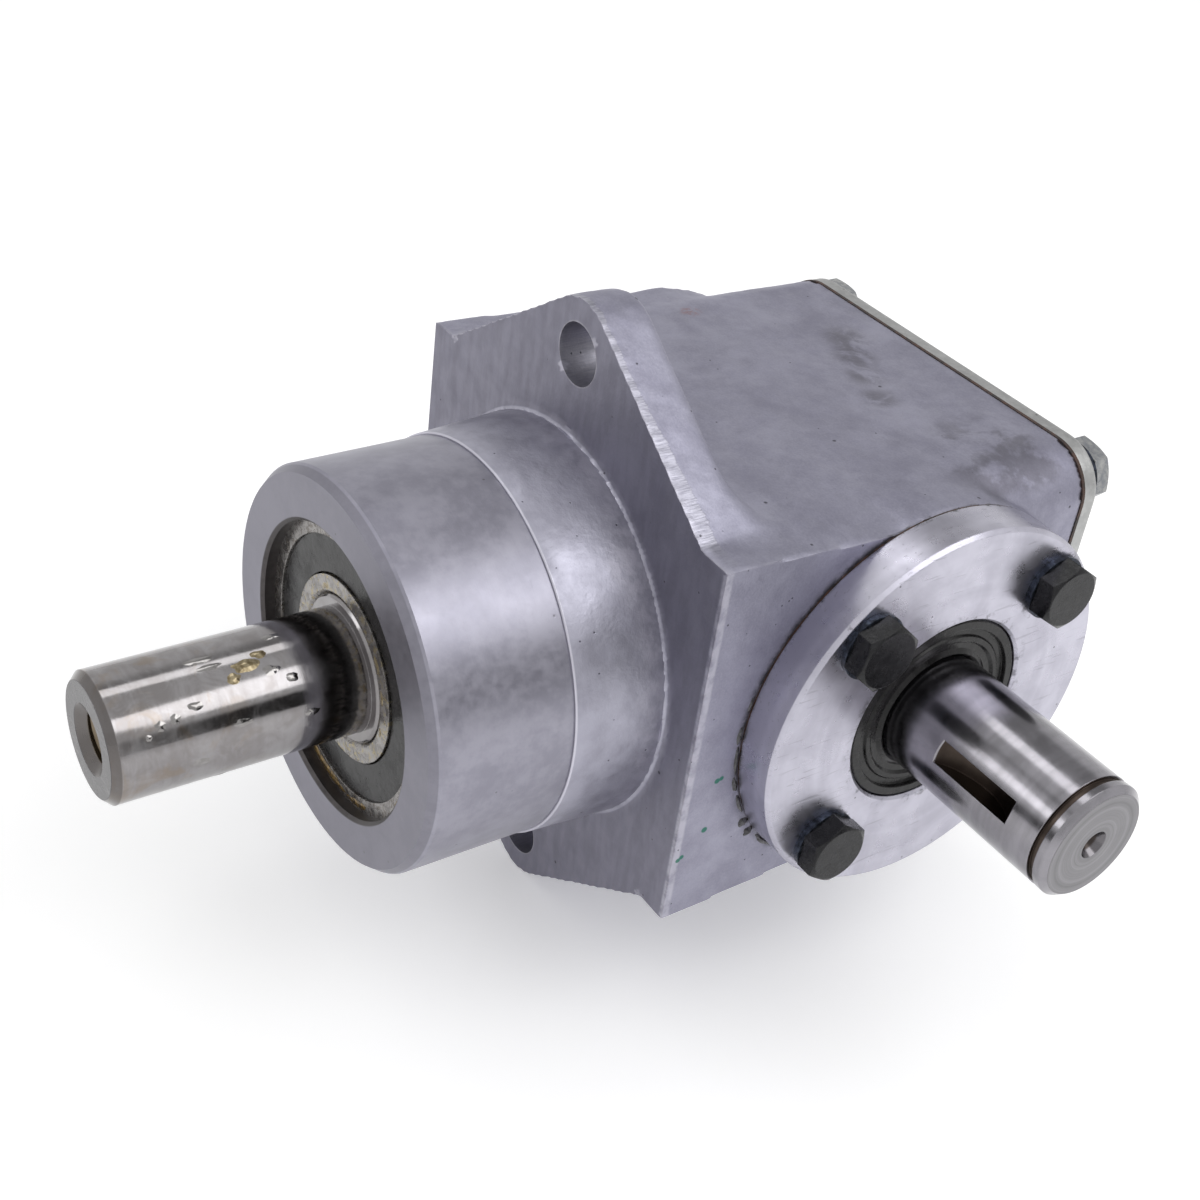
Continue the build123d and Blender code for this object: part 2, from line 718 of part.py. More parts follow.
side_centre_cone = (side_countersink_diameter - side_centre_diameter) / 2 / tan(pi / 6)
side_centre_hole = turned([
    (0, side_shaft_end_x),
    (side_countersink_diameter / 2, side_shaft_end_x),
    (side_centre_diameter / 2, side_shaft_end_x - side_centre_cone),
    (side_centre_diameter / 2, side_shaft_end_x - side_centre_depth),
    (0, side_shaft_end_x - side_centre_depth),
], side_axis_plane)
keyseat_direction = Vector(0, cos(radians(keyseat_angle)), sin(radians(keyseat_angle)))
cutter_distance = shaft_radius + keyseat_cutter_diameter / 2 - keyseat_depth
cutter_centre = Vector(side_shaft_end_x - keyseat_from_end, side_axis_y, 0) + keyseat_direction * cutter_distance
cutter_plane = Plane(origin=cutter_centre, x_dir=(1, 0, 0), z_dir=Vector(1, 0, 0).cross(keyseat_direction))
with BuildPart() as side_shaft:
    add(side_shaft_blank)
    add(side_centre_hole, mode=Mode.SUBTRACT)
    add(side_key, mode=Mode.SUBTRACT)
    # Woodruff keyseat, cut by a disc
    with BuildSketch(cutter_plane):
        Circle(keyseat_cutter_diameter / 2)
    extrude(amount=keyseat_width / 2, both=True, mode=Mode.SUBTRACT)
pieces["side_shaft"] = side_shaft.part

# Front shaft
front_collar_radius = front_collar_diameter / 2
front_shoulder_y = front_bearing_y - seat_shoulder
front_shaft_blank = turned([
    (0, front_shaft_end_y),
    (shaft_radius - front_end_chamfer, front_shaft_end_y),
    (shaft_radius, front_shaft_end_y + front_end_chamfer),
    (shaft_radius, front_shoulder_y),
    (front_seat_radius - seat_chamfer, front_shoulder_y),
    (front_seat_radius, front_shoulder_y + seat_chamfer),
    (front_seat_radius, front_bearing_back_y),
    (front_collar_radius, front_bearing_back_y),
    (front_collar_radius, rear_bearing_y),
    (front_seat_radius, rear_bearing_y),
    (front_seat_radius, rear_bearing_back_y),
    (pinion_seat_radius, rear_bearing_back_y),
    *groove_points(pinion_clip_y - circlip_side_gap, pinion_clip_y + circlip_thickness + circlip_side_gap,
                   pinion_groove_radius, pinion_seat_radius),
    (pinion_seat_radius, front_shaft_tip_y - pinion_seat_chamfer),
    (pinion_seat_radius - pinion_seat_chamfer, front_shaft_tip_y),
    (0, front_shaft_tip_y),
], front_axis_plane)
front_countersink_depth = (front_countersink_diameter - front_tapped_diameter) / 2
front_tapped_hole = turned([
    (0, front_shaft_end_y),
    (front_countersink_diameter / 2, front_shaft_end_y),
    (front_tapped_diameter / 2, front_shaft_end_y + front_countersink_depth),
    (front_tapped_diameter / 2, front_shaft_end_y + front_tapped_depth),
    (0, front_shaft_end_y + front_tapped_depth),
], front_axis_plane)
with BuildPart() as front_shaft:
    add(front_shaft_blank)
    add(front_tapped_hole, mode=Mode.SUBTRACT)
    add(front_key, mode=Mode.SUBTRACT)
pieces["front_shaft"] = front_shaft.part

# Mitre gears. Their angles are polar angles from the gear's axis at the point where both axes meet.
cone_angle = pi / 4
pitch_radius = gear_module * gear_teeth / 2
cone_distance = pitch_radius / sin(cone_angle)
base_angle = asin(sin(cone_angle) * cos(radians(pressure_angle)))
tip_angle = cone_angle + atan(gear_module / cone_distance)
root_angle = cone_angle - atan((gear_module + root_clearance) / cone_distance)


def involute_azimuth(angle):
    """Azimuth that a spherical involute has turned through where it reaches a polar angle."""
    roll = acos(min(1.0, cos(angle) / cos(base_angle)))
    return roll / sin(base_angle) - acos(min(1.0, tan(base_angle) / tan(angle)))


def half_space(angle):
    """Half the azimuth of the space between two teeth at a polar angle."""
    half_tooth = pi / (2 * gear_teeth) - tooth_thinning / (2 * pitch_radius)
    half_tooth += involute_azimuth(cone_angle) - involute_azimuth(angle)
    return pi / gear_teeth - half_tooth


def tooth_space(plane, near, far):
    """Solid between two teeth, along the plane's local x, between two distances from the apex."""
    over_angle = 2 * tip_angle - cone_angle
    flank_angles = [base_angle + (over_angle - base_angle) * step / 6 for step in range(7)]
    with BuildPart() as space:
        for distance in (near, far):
            flank = []
            for angle in flank_angles:
                radius = distance * tan(angle)
                flank.append((radius * cos(half_space(angle)), radius * sin(half_space(angle))))
            mirrored = [(x, -y) for x, y in flank]
            floor_radius = distance * tan(root_angle)
            floor_x = floor_radius * cos(half_space(base_angle))
            floor_y = floor_radius * sin(half_space(base_angle))
            with BuildSketch(plane.offset(distance)):
                with BuildLine():
                    Polyline(mirrored[0], (floor_x, -floor_y), (floor_x, floor_y), flank[0])
                    Spline(*flank)
                    Line(flank[-1], mirrored[-1])
                    Spline(*reversed(mirrored))
                make_face()
        loft(ruled=True)
    return space.part


def mitre_gear(plane, back_distance, back_hub_radius, bore_radius, first_space, keyway):
    """Straight mitre gear about the plane's normal, with its apex at the plane's origin."""
    heel = pitch_radius
    toe_share = (cone_distance - face_width) / cone_distance
    tip_step = gear_module * cos(cone_angle)
    back_step = (gear_module + root_clearance + rim_thickness) * cos(cone_angle)
    toe_radius = (heel + tip_step) * toe_share
    toe_distance = (heel - tip_step) * toe_share
    front_hub_radius = gear_front_hub_diameter / 2
    blank = turned([
        (heel + tip_step, heel - tip_step),
        (toe_radius, toe_distance),
        (front_hub_radius, toe_distance + toe_radius - front_hub_radius),
        (front_hub_radius, gear_front_distance),
        (bore_radius, gear_front_distance),
        (bore_radius, back_distance),
        (back_hub_radius, back_distance),
        (back_hub_radius, heel + back_step),
        (heel - back_step, heel + back_step),
    ], plane)
    space = tooth_space(plane, toe_distance - 2.0, heel + back_step + 1.0)
    gear_axis = Axis(plane.origin, plane.z_dir)
    spaces = [space.rotate(gear_axis, first_space + 360 * index / gear_teeth) for index in range(gear_teeth)]
    with BuildPart() as gear:
        add(blank)
        add(spaces, mode=Mode.SUBTRACT)
        add(keyway, mode=Mode.SUBTRACT)
    return gear.part


pinion_keyway = block(pinion_key_centre, (pinion_key_width, pinion_mounting_distance - gear_front_distance),
                      0, pinion_key_base + pinion_key_width + key_top_gap)
gear_keyway = block(side_key_centre, (gear_mounting_distance - gear_front_distance, side_key_width),
                    0, side_key_base + side_key_width + key_top_gap)
pinion_plane = Plane(origin=(0, side_axis_y, 0), x_dir=(1, 0, 0), z_dir=(0, -1, 0))
gear_plane = Plane(origin=(0, side_axis_y, 0), x_dir=(0, -1, 0), z_dir=(1, 0, 0))
pieces["pinion"] = mitre_gear(pinion_plane, pinion_mounting_distance, pinion_back_hub_diameter / 2,
                              pinion_seat_radius, 180 / gear_teeth, pinion_keyway)
pieces["side_gear"] = mitre_gear(gear_plane, gear_mounting_distance, gear_back_hub_diameter / 2,
                                 shaft_radius, 0, gear_keyway)

# Export
os.makedirs("parts", exist_ok=True)
for name, piece in pieces.items():
    piece.label = name
    export_step(piece, f"parts/{name}.step")
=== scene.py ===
"""Looks of the right angle gearbox: cast and turned aluminium, oily ground steel, black rubber and bolts.

Metres, in the frame of the CAD model: -Y along the plain front shaft, +X along the keyed side shaft, +Z up.
"""

import json
import math

import bmesh
import bpy
import numpy as np
from mathutils import Matrix, Vector, noise


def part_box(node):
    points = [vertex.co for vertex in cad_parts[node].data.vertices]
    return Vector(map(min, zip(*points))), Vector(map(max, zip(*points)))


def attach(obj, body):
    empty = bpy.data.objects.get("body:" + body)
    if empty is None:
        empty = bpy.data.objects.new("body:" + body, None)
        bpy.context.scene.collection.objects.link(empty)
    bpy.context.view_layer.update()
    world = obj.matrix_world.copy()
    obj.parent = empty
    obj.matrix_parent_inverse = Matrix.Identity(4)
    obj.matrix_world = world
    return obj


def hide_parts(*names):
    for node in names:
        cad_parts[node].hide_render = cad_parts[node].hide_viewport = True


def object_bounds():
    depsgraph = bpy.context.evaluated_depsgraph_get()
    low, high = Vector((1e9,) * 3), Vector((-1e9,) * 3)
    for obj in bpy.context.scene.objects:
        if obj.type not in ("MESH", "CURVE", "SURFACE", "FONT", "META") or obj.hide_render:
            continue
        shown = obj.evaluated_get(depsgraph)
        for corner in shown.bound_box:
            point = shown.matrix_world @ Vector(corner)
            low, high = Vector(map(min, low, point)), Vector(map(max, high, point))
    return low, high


MM = 0.001
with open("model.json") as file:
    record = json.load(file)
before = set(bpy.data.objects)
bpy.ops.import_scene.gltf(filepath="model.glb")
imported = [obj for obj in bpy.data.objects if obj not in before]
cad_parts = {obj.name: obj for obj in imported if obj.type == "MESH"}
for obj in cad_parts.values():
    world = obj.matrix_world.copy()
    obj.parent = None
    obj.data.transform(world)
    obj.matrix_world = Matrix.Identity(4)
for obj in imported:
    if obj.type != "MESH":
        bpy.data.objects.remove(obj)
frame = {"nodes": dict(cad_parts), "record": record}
cad_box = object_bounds()
nodes = frame["nodes"]

# Places read from the CAD model
cover_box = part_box("side_cover")
side_shaft_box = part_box("side_shaft")
front_shaft_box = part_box("front_shaft")
housing_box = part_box("housing")
side_axis_y = (cover_box[0].y + cover_box[1].y) / 2
cover_face_x = cover_box[1].x
cover_radius = (cover_box[1].z - cover_box[0].z) / 2
pad_face_x = housing_box[1].x
boss_face_y = housing_box[0].y
back_face_y = housing_box[1].y
ring_face_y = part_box("front_bearing_outer_ring")[0].y
shaft_end_y = front_shaft_box[0].y
key_end_x = side_shaft_box[1].x

# Sizes of the CAD model that no box gives
turned_length = 29.9 * MM
turned_end_y = boss_face_y + turned_length
neck_step_radius = 41.4 * MM
neck_root_radius = 42.6 * MM
recess_radius = 30.0 * MM
shaft_radius = 12.7 * MM
tapped_radius = 5.2 * MM
lug_hole_z = 59.5 * MM
lug_hole_radius = 6.25 * MM
cover_bolt_circle = 34.1 * MM

# Where the remeshed skin of the casting ends and the exact neck begins
neck_cut_y = -0.7 * MM


class Graph:
    """Nodes of a material or world under construction, with short calls for what the looks need."""

    def __init__(self, owner, shader="Principled BSDF", place="Object"):
        owner.use_nodes = True
        self.owner = owner
        self.tree = owner.node_tree
        self.shader = self.tree.nodes[shader]
        self.place = self.tree.nodes.new("ShaderNodeTexCoord").outputs[place]
        parts = self.tree.nodes.new("ShaderNodeSeparateXYZ")
        self.tree.links.new(self.place, parts.inputs[0])
        self.x, self.y, self.z = parts.outputs

    def feed(self, socket, value):
        """Sets a socket's value, or links it when the value is another node's output."""
        if isinstance(value, bpy.types.NodeSocket):
            self.tree.links.new(value, socket)
        elif isinstance(value, tuple) and len(value) == 3 and socket.type == "RGBA":
            socket.default_value = (*value, 1)
        else:
            socket.default_value = value

    def set(self, name, value):
        self.feed(self.shader.inputs[name], value)

    def math(self, operation, *values):
        maths = self.tree.nodes.new("ShaderNodeMath")
        maths.operation = operation
        for socket, value in zip(maths.inputs, values):
            self.feed(socket, value)
        return maths.outputs[0]

    def total(self, *values):
        result = values[0]
        for value in values[1:]:
            result = self.math("ADD", result, value)
        return result

    def product(self, *values):
        result = values[0]
        for value in values[1:]:
            result = self.math("MULTIPLY", result, value)
        return result

    def less(self, value, taken):
        return self.math("SUBTRACT", value, taken)

    def fade(self, value, start, end, low=0.0, high=1.0):
        """Smooth step of a value from low at start to high at end."""
        step = self.tree.nodes.new("ShaderNodeMapRange")
        step.interpolation_type = "SMOOTHSTEP"
        for name, number in (("From Min", start), ("From Max", end), ("To Min", low), ("To Max", high)):
            self.feed(step.inputs[name], number)
        self.feed(step.inputs["Value"], value)
        return step.outputs[0]

    def mix(self, share, first, second):
        """Colour between two colours, which are the Mix node's sockets 6 and 7."""
        blend = self.tree.nodes.new("ShaderNodeMix")
        blend.data_type = "RGBA"
        self.feed(blend.inputs[0], share)
        self.feed(blend.inputs[6], first)
        self.feed(blend.inputs[7], second)
        return blend.outputs[2]

    def stretched(self, x=1.0, y=1.0, z=1.0):
        """Coordinates stretched along the axes."""
        mapping = self.tree.nodes.new("ShaderNodeMapping")
        self.feed(mapping.inputs["Vector"], self.place)
        mapping.inputs["Scale"].default_value = (x, y, z)
        return mapping.outputs[0]

    def joined(self, x, y, z=0.0):
        """Vector of three values."""
        vector = self.tree.nodes.new("ShaderNodeCombineXYZ")
        for socket, value in zip(vector.inputs, (x, y, z)):
            self.feed(socket, value)
        return vector.outputs[0]

    def noise(self, size, detail=3.0, roughness=0.55, distortion=0.0, vector=None):
        """Noise whose features are about size metres wide."""
        texture = self.tree.nodes.new("ShaderNodeTexNoise")
        self.feed(texture.inputs["Vector"], vector or self.place)
        texture.inputs["Scale"].default_value = 1 / size
        texture.inputs["Detail"].default_value = detail
        texture.inputs["Roughness"].default_value = roughness
        texture.inputs["Distortion"].default_value = distortion
        return texture.outputs[0]

    def specks(self, spacing, radius, share):
        """One on small round spots, on a share of the cells spacing metres wide."""
        cells = self.tree.nodes.new("ShaderNodeTexVoronoi")
        self.feed(cells.inputs["Vector"], self.place)
        cells.inputs["Scale"].default_value = 1 / spacing
        spot = self.fade(cells.outputs["Distance"], 0.5 * radius / spacing, radius / spacing, 1.0, 0.0)
        chance = self.tree.nodes.new("ShaderNodeSeparateXYZ")
        self.feed(chance.inputs[0], cells.outputs["Color"])
        return self.product(spot, self.math("LESS_THAN", chance.outputs[0], share))

    def length(self, first, second):
        return self.math("SQRT", self.total(self.product(first, first), self.product(second, second)))

    def dot(self, vector):
        """The coordinates' share along a fixed vector."""
        along = self.tree.nodes.new("ShaderNodeVectorMath")
        along.operation = "DOT_PRODUCT"
        self.feed(along.inputs[0], self.place)
        along.inputs[1].default_value = vector
        return along.outputs["Value"]

    def near(self, point, radius, soft):
        """One within a ball round a point in millimetres, fading to nothing over the soft distance."""
        distance = self.tree.nodes.new("ShaderNodeVectorMath")
        distance.operation = "DISTANCE"
        self.feed(distance.inputs[0], self.place)
        distance.inputs[1].default_value = [value * MM for value in point]
        return self.fade(distance.outputs["Value"], radius * MM, (radius + soft) * MM, 1.0, 0.0)

    def dabs(self, places):
        """Total of several such balls, each a point, a radius and a soft distance."""
        return self.total(*(self.near(*place) for place in places))

    def bump(self, height, depth, strength=1.0, normal=None):
        """Normal of a height between 0 and 1, depth metres deep."""
        relief = self.tree.nodes.new("ShaderNodeBump")
        relief.inputs["Strength"].default_value = strength
        relief.inputs["Distance"].default_value = depth
        self.feed(relief.inputs["Height"], height)
        if normal is not None:
            self.feed(relief.inputs["Normal"], normal)
        return relief.outputs[0]

    def rounded(self, radius):
        """Normal with the edges rounded."""
        bevel = self.tree.nodes.new("ShaderNodeBevel")
        bevel.samples = 4
        bevel.inputs["Radius"].default_value = radius
        return bevel.outputs[0]

    def edges(self, low=0.52, high=0.60):
        """One on sharp outer edges of a dense mesh."""
        geometry = self.tree.nodes.new("ShaderNodeNewGeometry")
        return self.fade(geometry.outputs["Pointiness"], low, high)


def new_look(name):
    return Graph(bpy.data.materials.new(name))


def cast_aluminium():
    """Cast skin, with the turned boss, the milled lug edges and the stains of the real casting."""
    g = new_look("cast_aluminium")
    around = g.length(g.x, g.z)
    turned = g.fade(g.y, turned_end_y - 0.02 * MM, turned_end_y + 0.02 * MM, 1, 0)
    cast = g.less(1.0, turned)
    clouds = g.noise(17 * MM, 4, 0.6, 0.3)
    patches = g.noise(5 * MM, 4, 0.6)
    grain = g.noise(0.5 * MM, 2, 0.6)
    tone = g.total(g.product(clouds, 0.5), g.product(patches, 0.27), g.product(grain, 0.23))
    colour = g.mix(g.fade(tone, 0.31, 0.69), (0.262, 0.257, 0.325), (0.385, 0.38, 0.463))
    # Flange front: painted shade, darker than the rest of the casting, with streaks up and down
    streaks = g.noise(3.2 * MM, 3, 0.55, 0.2, g.stretched(1, 1, 0.25))
    front = g.product(g.fade(g.y, 0.05 * MM, 0.3 * MM, 1, 0), g.fade(around, 42.9 * MM, 43.4 * MM))
    shaded_streaks = g.mix(g.fade(streaks, 0.35, 0.65), (0.168, 0.163, 0.198), (0.212, 0.207, 0.25))
    colour = g.mix(g.product(front, cast, 0.75), colour, shaded_streaks)
    pale = g.mix(g.fade(g.total(g.product(clouds, 0.5), g.product(patches, 0.5)), 0.38, 0.62),
                 (0.325, 0.32, 0.38), (0.40, 0.395, 0.465))
    neck = g.product(cast, g.fade(around, 42.9 * MM, 43.3 * MM, 1, 0), g.fade(g.y, -0.2 * MM, 0.2 * MM, 1, 0))
    colour = g.mix(neck, colour, pale)
    # Milled slivers along the front edge of the lugs' slants
    height = g.math("ABSOLUTE", g.z)
    width = g.fade(height, 66 * MM, 43 * MM, 1.4 * MM, 3.8 * MM)
    ragged = g.product(g.less(g.noise(1.6 * MM, 4, 0.7), 0.5), 2.2 * MM)
    reach = g.less(g.total(width, ragged), g.y)
    hole = g.length(g.x, g.less(height, lug_hole_z))
    off_hole = g.fade(hole, lug_hole_radius + 0.15 * MM, lug_hole_radius + 0.3 * MM)
    sliver = g.product(g.fade(reach, 0, 0.25 * MM), g.fade(g.y, 0.03 * MM, 0.12 * MM),
                       g.fade(height, 42.0 * MM, 42.8 * MM), off_hole)
    cuts = g.noise(0.16 * MM, 2, 0.6, 0, g.stretched(0.3, 0.04, 1))
    milled = g.mix(g.fade(cuts, 0.35, 0.65), (0.29, 0.285, 0.34), (0.42, 0.415, 0.48))
    colour = g.mix(sliver, colour, milled)
    # Drilled lug holes, and a painted highlight on the step where the neck rises from the boss
    drilled = g.product(g.less(1.0, off_hole), g.fade(height, 50 * MM, 51 * MM))
    colour = g.mix(g.product(drilled, 0.7), colour, g.mix(cuts, (0.16, 0.16, 0.18), (0.42, 0.41, 0.45)))
    step_highlight = g.product(cast, g.fade(g.y, turned_end_y + 0.25 * MM, turned_end_y + 0.5 * MM, 1, 0))
    colour = g.mix(g.product(step_highlight, 0.8), colour, (0.62, 0.61, 0.68))
    # Lighter sharp cast edges: worn metal, and partly a painted highlight
    edge_wear_and_highlight = g.product(g.edges(), cast, g.fade(g.noise(3 * MM, 3, 0.6), 0.35, 0.6, 0.2, 0.8))
    colour = g.mix(edge_wear_and_highlight, colour, (0.52, 0.51, 0.58))
    # Stains on the top: a dark streak, a cloud by the back cover and a faint red mark
    top = g.fade(g.z, 36 * MM, 39 * MM)
    wisps = g.fade(g.noise(7 * MM, 5, 0.65, 0.7), 0.38, 0.58)
    cloud = g.fade(g.noise(13 * MM, 5, 0.6, 0.5), 0.46, 0.6)
    streak = g.dabs((((-14, 83, 42), 2, 6), ((-6, 79, 42), 2, 5), ((2, 75, 42), 1.5, 5),
                     ((11, 71, 42), 1, 5)))
    corner = g.near((40, 79, 41), 9, 11)
    stain = g.total(g.product(wisps, streak, 0.5), g.product(cloud, corner, 0.5))
    colour = g.mix(g.product(top, g.math("MINIMUM", stain, 0.85)), colour, (0.085, 0.08, 0.09))
    rust = g.product(g.near((-37, 56.6, 41), 1.2, 2.2), g.fade(g.noise(1.5 * MM, 3, 0.6), 0.4, 0.6))
    colour = g.mix(g.product(top, rust, 0.5), colour, (0.30, 0.12, 0.09))
    # Darker ring, broken up by noise, on the pad right round the side cover
    rim = g.length(g.less(g.y, side_axis_y), g.z)
    dark_ring_by_cover = g.product(g.fade(g.x, pad_face_x - 0.6 * MM, pad_face_x - 0.2 * MM),
                       g.fade(rim, cover_radius, cover_radius + 2.2 * MM, 1, 0),
                       g.fade(g.noise(3 * MM, 4, 0.65), 0.38, 0.6))
    colour = g.mix(g.product(dark_ring_by_cover, 0.7), colour, (0.07, 0.068, 0.075))
    # Green paint marks
    paint = g.dabs((((52, 7.6, -8.3), 0.5, 0.3), ((52, 8.6, -8.0), 0.4, 0.3), ((52, 6.8, -20.6), 0.55, 0.3),
                    ((52, 2.2, -26.0), 0.4, 0.3), ((52, 1.4, -26.6), 0.4, 0.3)))
    colour = g.mix(g.product(g.math("MINIMUM", paint, 1.0), 0.85), colour, (0.01, 0.17, 0.11))
    # Dark pits of the cast skin
    pits = g.total(g.specks(3.2 * MM, 0.28 * MM, 0.3), g.specks(7 * MM, 0.5 * MM, 0.25))
    colour = g.mix(g.product(g.math("MINIMUM", pits, 1.0), cast, 0.75), colour, (0.035, 0.033, 0.04))
    # Turned boss: bright side, a front face made duller as painted shade, and a recess wall painted dark as
    # shade, with an oily film
    soft = g.noise(9 * MM, 4, 0.6)
    wear = g.noise(2.2 * MM, 4, 0.65)
    bright = g.mix(g.fade(g.total(g.product(soft, 0.6), g.product(wear, 0.4)), 0.36, 0.64),
                   (0.275, 0.27, 0.32), (0.35, 0.343, 0.40))
    shaded_recess = g.fade(around, recess_radius + 0.5 * MM, recess_radius + 0.9 * MM, 1, 0)
    face = g.fade(g.y, boss_face_y + 1.4 * MM, boss_face_y + 1.6 * MM, 1, 0)
    # The front face is painted duller than the side: painted shade
    bright = g.mix(g.product(face, 0.7), bright, g.mix(wear, (0.16, 0.156, 0.185), (0.24, 0.235, 0.27)))
    # The recess wall is painted dark: painted shade
    bright = g.mix(shaded_recess, bright, g.mix(wear, (0.035, 0.032, 0.033), (0.14, 0.13, 0.13)))
    scuffs = g.specks(4.5 * MM, 0.35 * MM, 0.3)
    bright = g.mix(g.product(scuffs, 0.5), bright, (0.1, 0.095, 0.1))
    colour = g.mix(turned, colour, bright)
    g.set("Base Color", colour)
    g.set("Metallic", 1.0)
    rough = g.fade(g.noise(4 * MM, 4, 0.6), 0.25, 0.75, 0.44, 0.56)
    rough = g.less(rough, g.total(g.product(neck, 0.07), g.product(sliver, 0.08)))
    satin = g.total(g.fade(wear, 0.25, 0.75, 0.36, 0.44), g.product(face, 0.04))
    g.set("Roughness", g.total(g.product(satin, turned), g.product(rough, cast)))
    skin = g.total(g.product(g.noise(0.8 * MM, 3, 0.6), 0.5), g.product(g.noise(2.4 * MM, 2, 0.5), 0.6),
                   g.product(pits, -0.5), g.product(sliver, cuts, 0.4))
    lathe = g.noise(0.3 * MM, 2, 0.5, 0, g.joined(around, g.y))
    relief = g.total(g.product(skin, cast), g.product(lathe, turned, 0.12), g.product(scuffs, turned, -0.2))
    g.set("Normal", g.bump(relief, 0.11 * MM, 0.75))
    return g.owner


def turned_aluminium():
    """Side cover: bright turned face with fine scratches and nicks, darker round the seal and along the seam,
    and darker round the bolt heads with soiling and painted shade.
    """
    g = new_look("machined_aluminium")
    across = g.less(g.y, side_axis_y)
    radius = g.length(across, g.z)
    rings = g.joined(radius, g.x)
    ring_noise = g.noise(0.3 * MM, 3, 0.7, 0, rings)
    wide_rings = g.noise(3.5 * MM, 2, 0.5, 0, rings)
    smudge = g.noise(12 * MM, 4, 0.6, 0.5)
    tone = g.total(g.product(wide_rings, 0.35), g.product(smudge, 0.65))
    colour = g.mix(g.fade(tone, 0.36, 0.64), (0.44, 0.43, 0.50), (0.56, 0.55, 0.63))
    scratches = g.fade(g.noise(0.6 * MM, 2, 0.5, 0.4, g.stretched(1, 0.06, 1)), 0.64, 0.7)
    nicks = g.specks(5 * MM, 0.3 * MM, 0.35)
    blotches = g.fade(g.noise(2.5 * MM, 5, 0.7), 0.52, 0.64)
    by_seal = g.fade(radius, 22.0 * MM, 24.5 * MM, 1, 0)
    by_seam = g.fade(g.x, pad_face_x + 1.4 * MM, pad_face_x + 0.5 * MM)
    grime_and_shade = g.total(g.product(blotches, g.total(g.product(by_seal, 0.6), by_seam)), g.product(nicks, 0.7),
                    g.product(scratches, 0.2))
    # Darker round each bolt head: soiling, and painted shade where the head sits on the face
    for angle in (45, 135, 225, 315):
        bolt_y = side_axis_y + cover_bolt_circle * math.cos(math.radians(angle))
        bolt_z = cover_bolt_circle * math.sin(math.radians(angle))
        by_bolt = g.near((cover_face_x / MM, bolt_y / MM, bolt_z / MM), 7.2, 1.6)
        grime_and_shade = g.total(grime_and_shade, g.product(by_bolt, blotches, 0.7))
    colour = g.mix(g.math("MINIMUM", grime_and_shade, 0.85), colour, (0.07, 0.068, 0.075))
    g.set("Base Color", colour)
    g.set("Metallic", 1.0)
    g.set("Roughness", g.fade(g.noise(5 * MM, 4, 0.6), 0.3, 0.7, 0.26, 0.36))
    relief = g.total(g.product(ring_noise, 0.4), g.product(scratches, -0.5), g.product(nicks, -0.8))
    g.set("Normal", g.bump(relief, 0.03 * MM, 0.7, g.rounded(0.35 * MM)))
    return g.owner


def plate_aluminium():
    """Back cover: sheared plate with a hammered, lighter edge."""
    g = new_look("plate_aluminium")
    tone = g.noise(6 * MM, 5, 0.6, 0.4)
    colour = g.mix(g.fade(tone, 0.3, 0.7), (0.37, 0.372, 0.37), (0.46, 0.463, 0.46))
    dents = g.noise(1.7 * MM, 3, 0.6)
    colour = g.mix(g.product(g.fade(dents, 0.5, 0.65), 0.3), colour, (0.58, 0.58, 0.575))
    colour = g.mix(g.product(g.specks(4 * MM, 0.4 * MM, 0.4), 0.7), colour, (0.06, 0.055, 0.05))
    g.set("Base Color", colour)
    g.set("Metallic", 1.0)
    g.set("Roughness", g.fade(g.noise(3 * MM, 3, 0.6), 0.3, 0.7, 0.36, 0.5))
    g.set("Normal", g.bump(dents, 0.2 * MM, 0.8, g.rounded(0.6 * MM)))
    return g.owner


def gasket_paper():
    g = new_look("gasket_paper")
    tone = g.noise(2 * MM, 4, 0.6)
    g.set("Base Color", g.mix(g.fade(tone, 0.35, 0.65), (0.012, 0.008, 0.007), (0.06, 0.026, 0.016)))
    g.set("Roughness", 0.55)
    g.set("Normal", g.bump(g.noise(0.5 * MM, 3, 0.6), 0.1 * MM))
    return g.owner


def ground_steel(name, axis, light, dark, low=0.16, high=0.3):
    """Ground steel with fine lines round an axis, 0 for X and 1 for Y, and a roughness from low to high."""
    g = new_look(name)
    squeeze = [0.04, 0.04, 0.04]
    squeeze[axis] = 1.0
    lines = g.noise(0.16 * MM, 3, 0.6, 0, g.stretched(*squeeze))
    bands = g.noise(2.5 * MM, 3, 0.6, 0, g.stretched(*squeeze))
    smudge = g.noise(7 * MM, 4, 0.6, 0.8)
    tone = g.total(g.product(bands, 0.45), g.product(smudge, 0.55))
    g.set("Base Color", g.mix(g.fade(tone, 0.35, 0.65), dark, light))
    g.set("Metallic", 1.0)
    g.set("Roughness", g.fade(g.total(g.product(smudge, 0.6), g.product(lines, 0.4)), 0.3, 0.7, low, high))
    g.set("Normal", g.bump(lines, 0.012 * MM, 0.6, g.rounded(0.25 * MM)))
    return g.owner


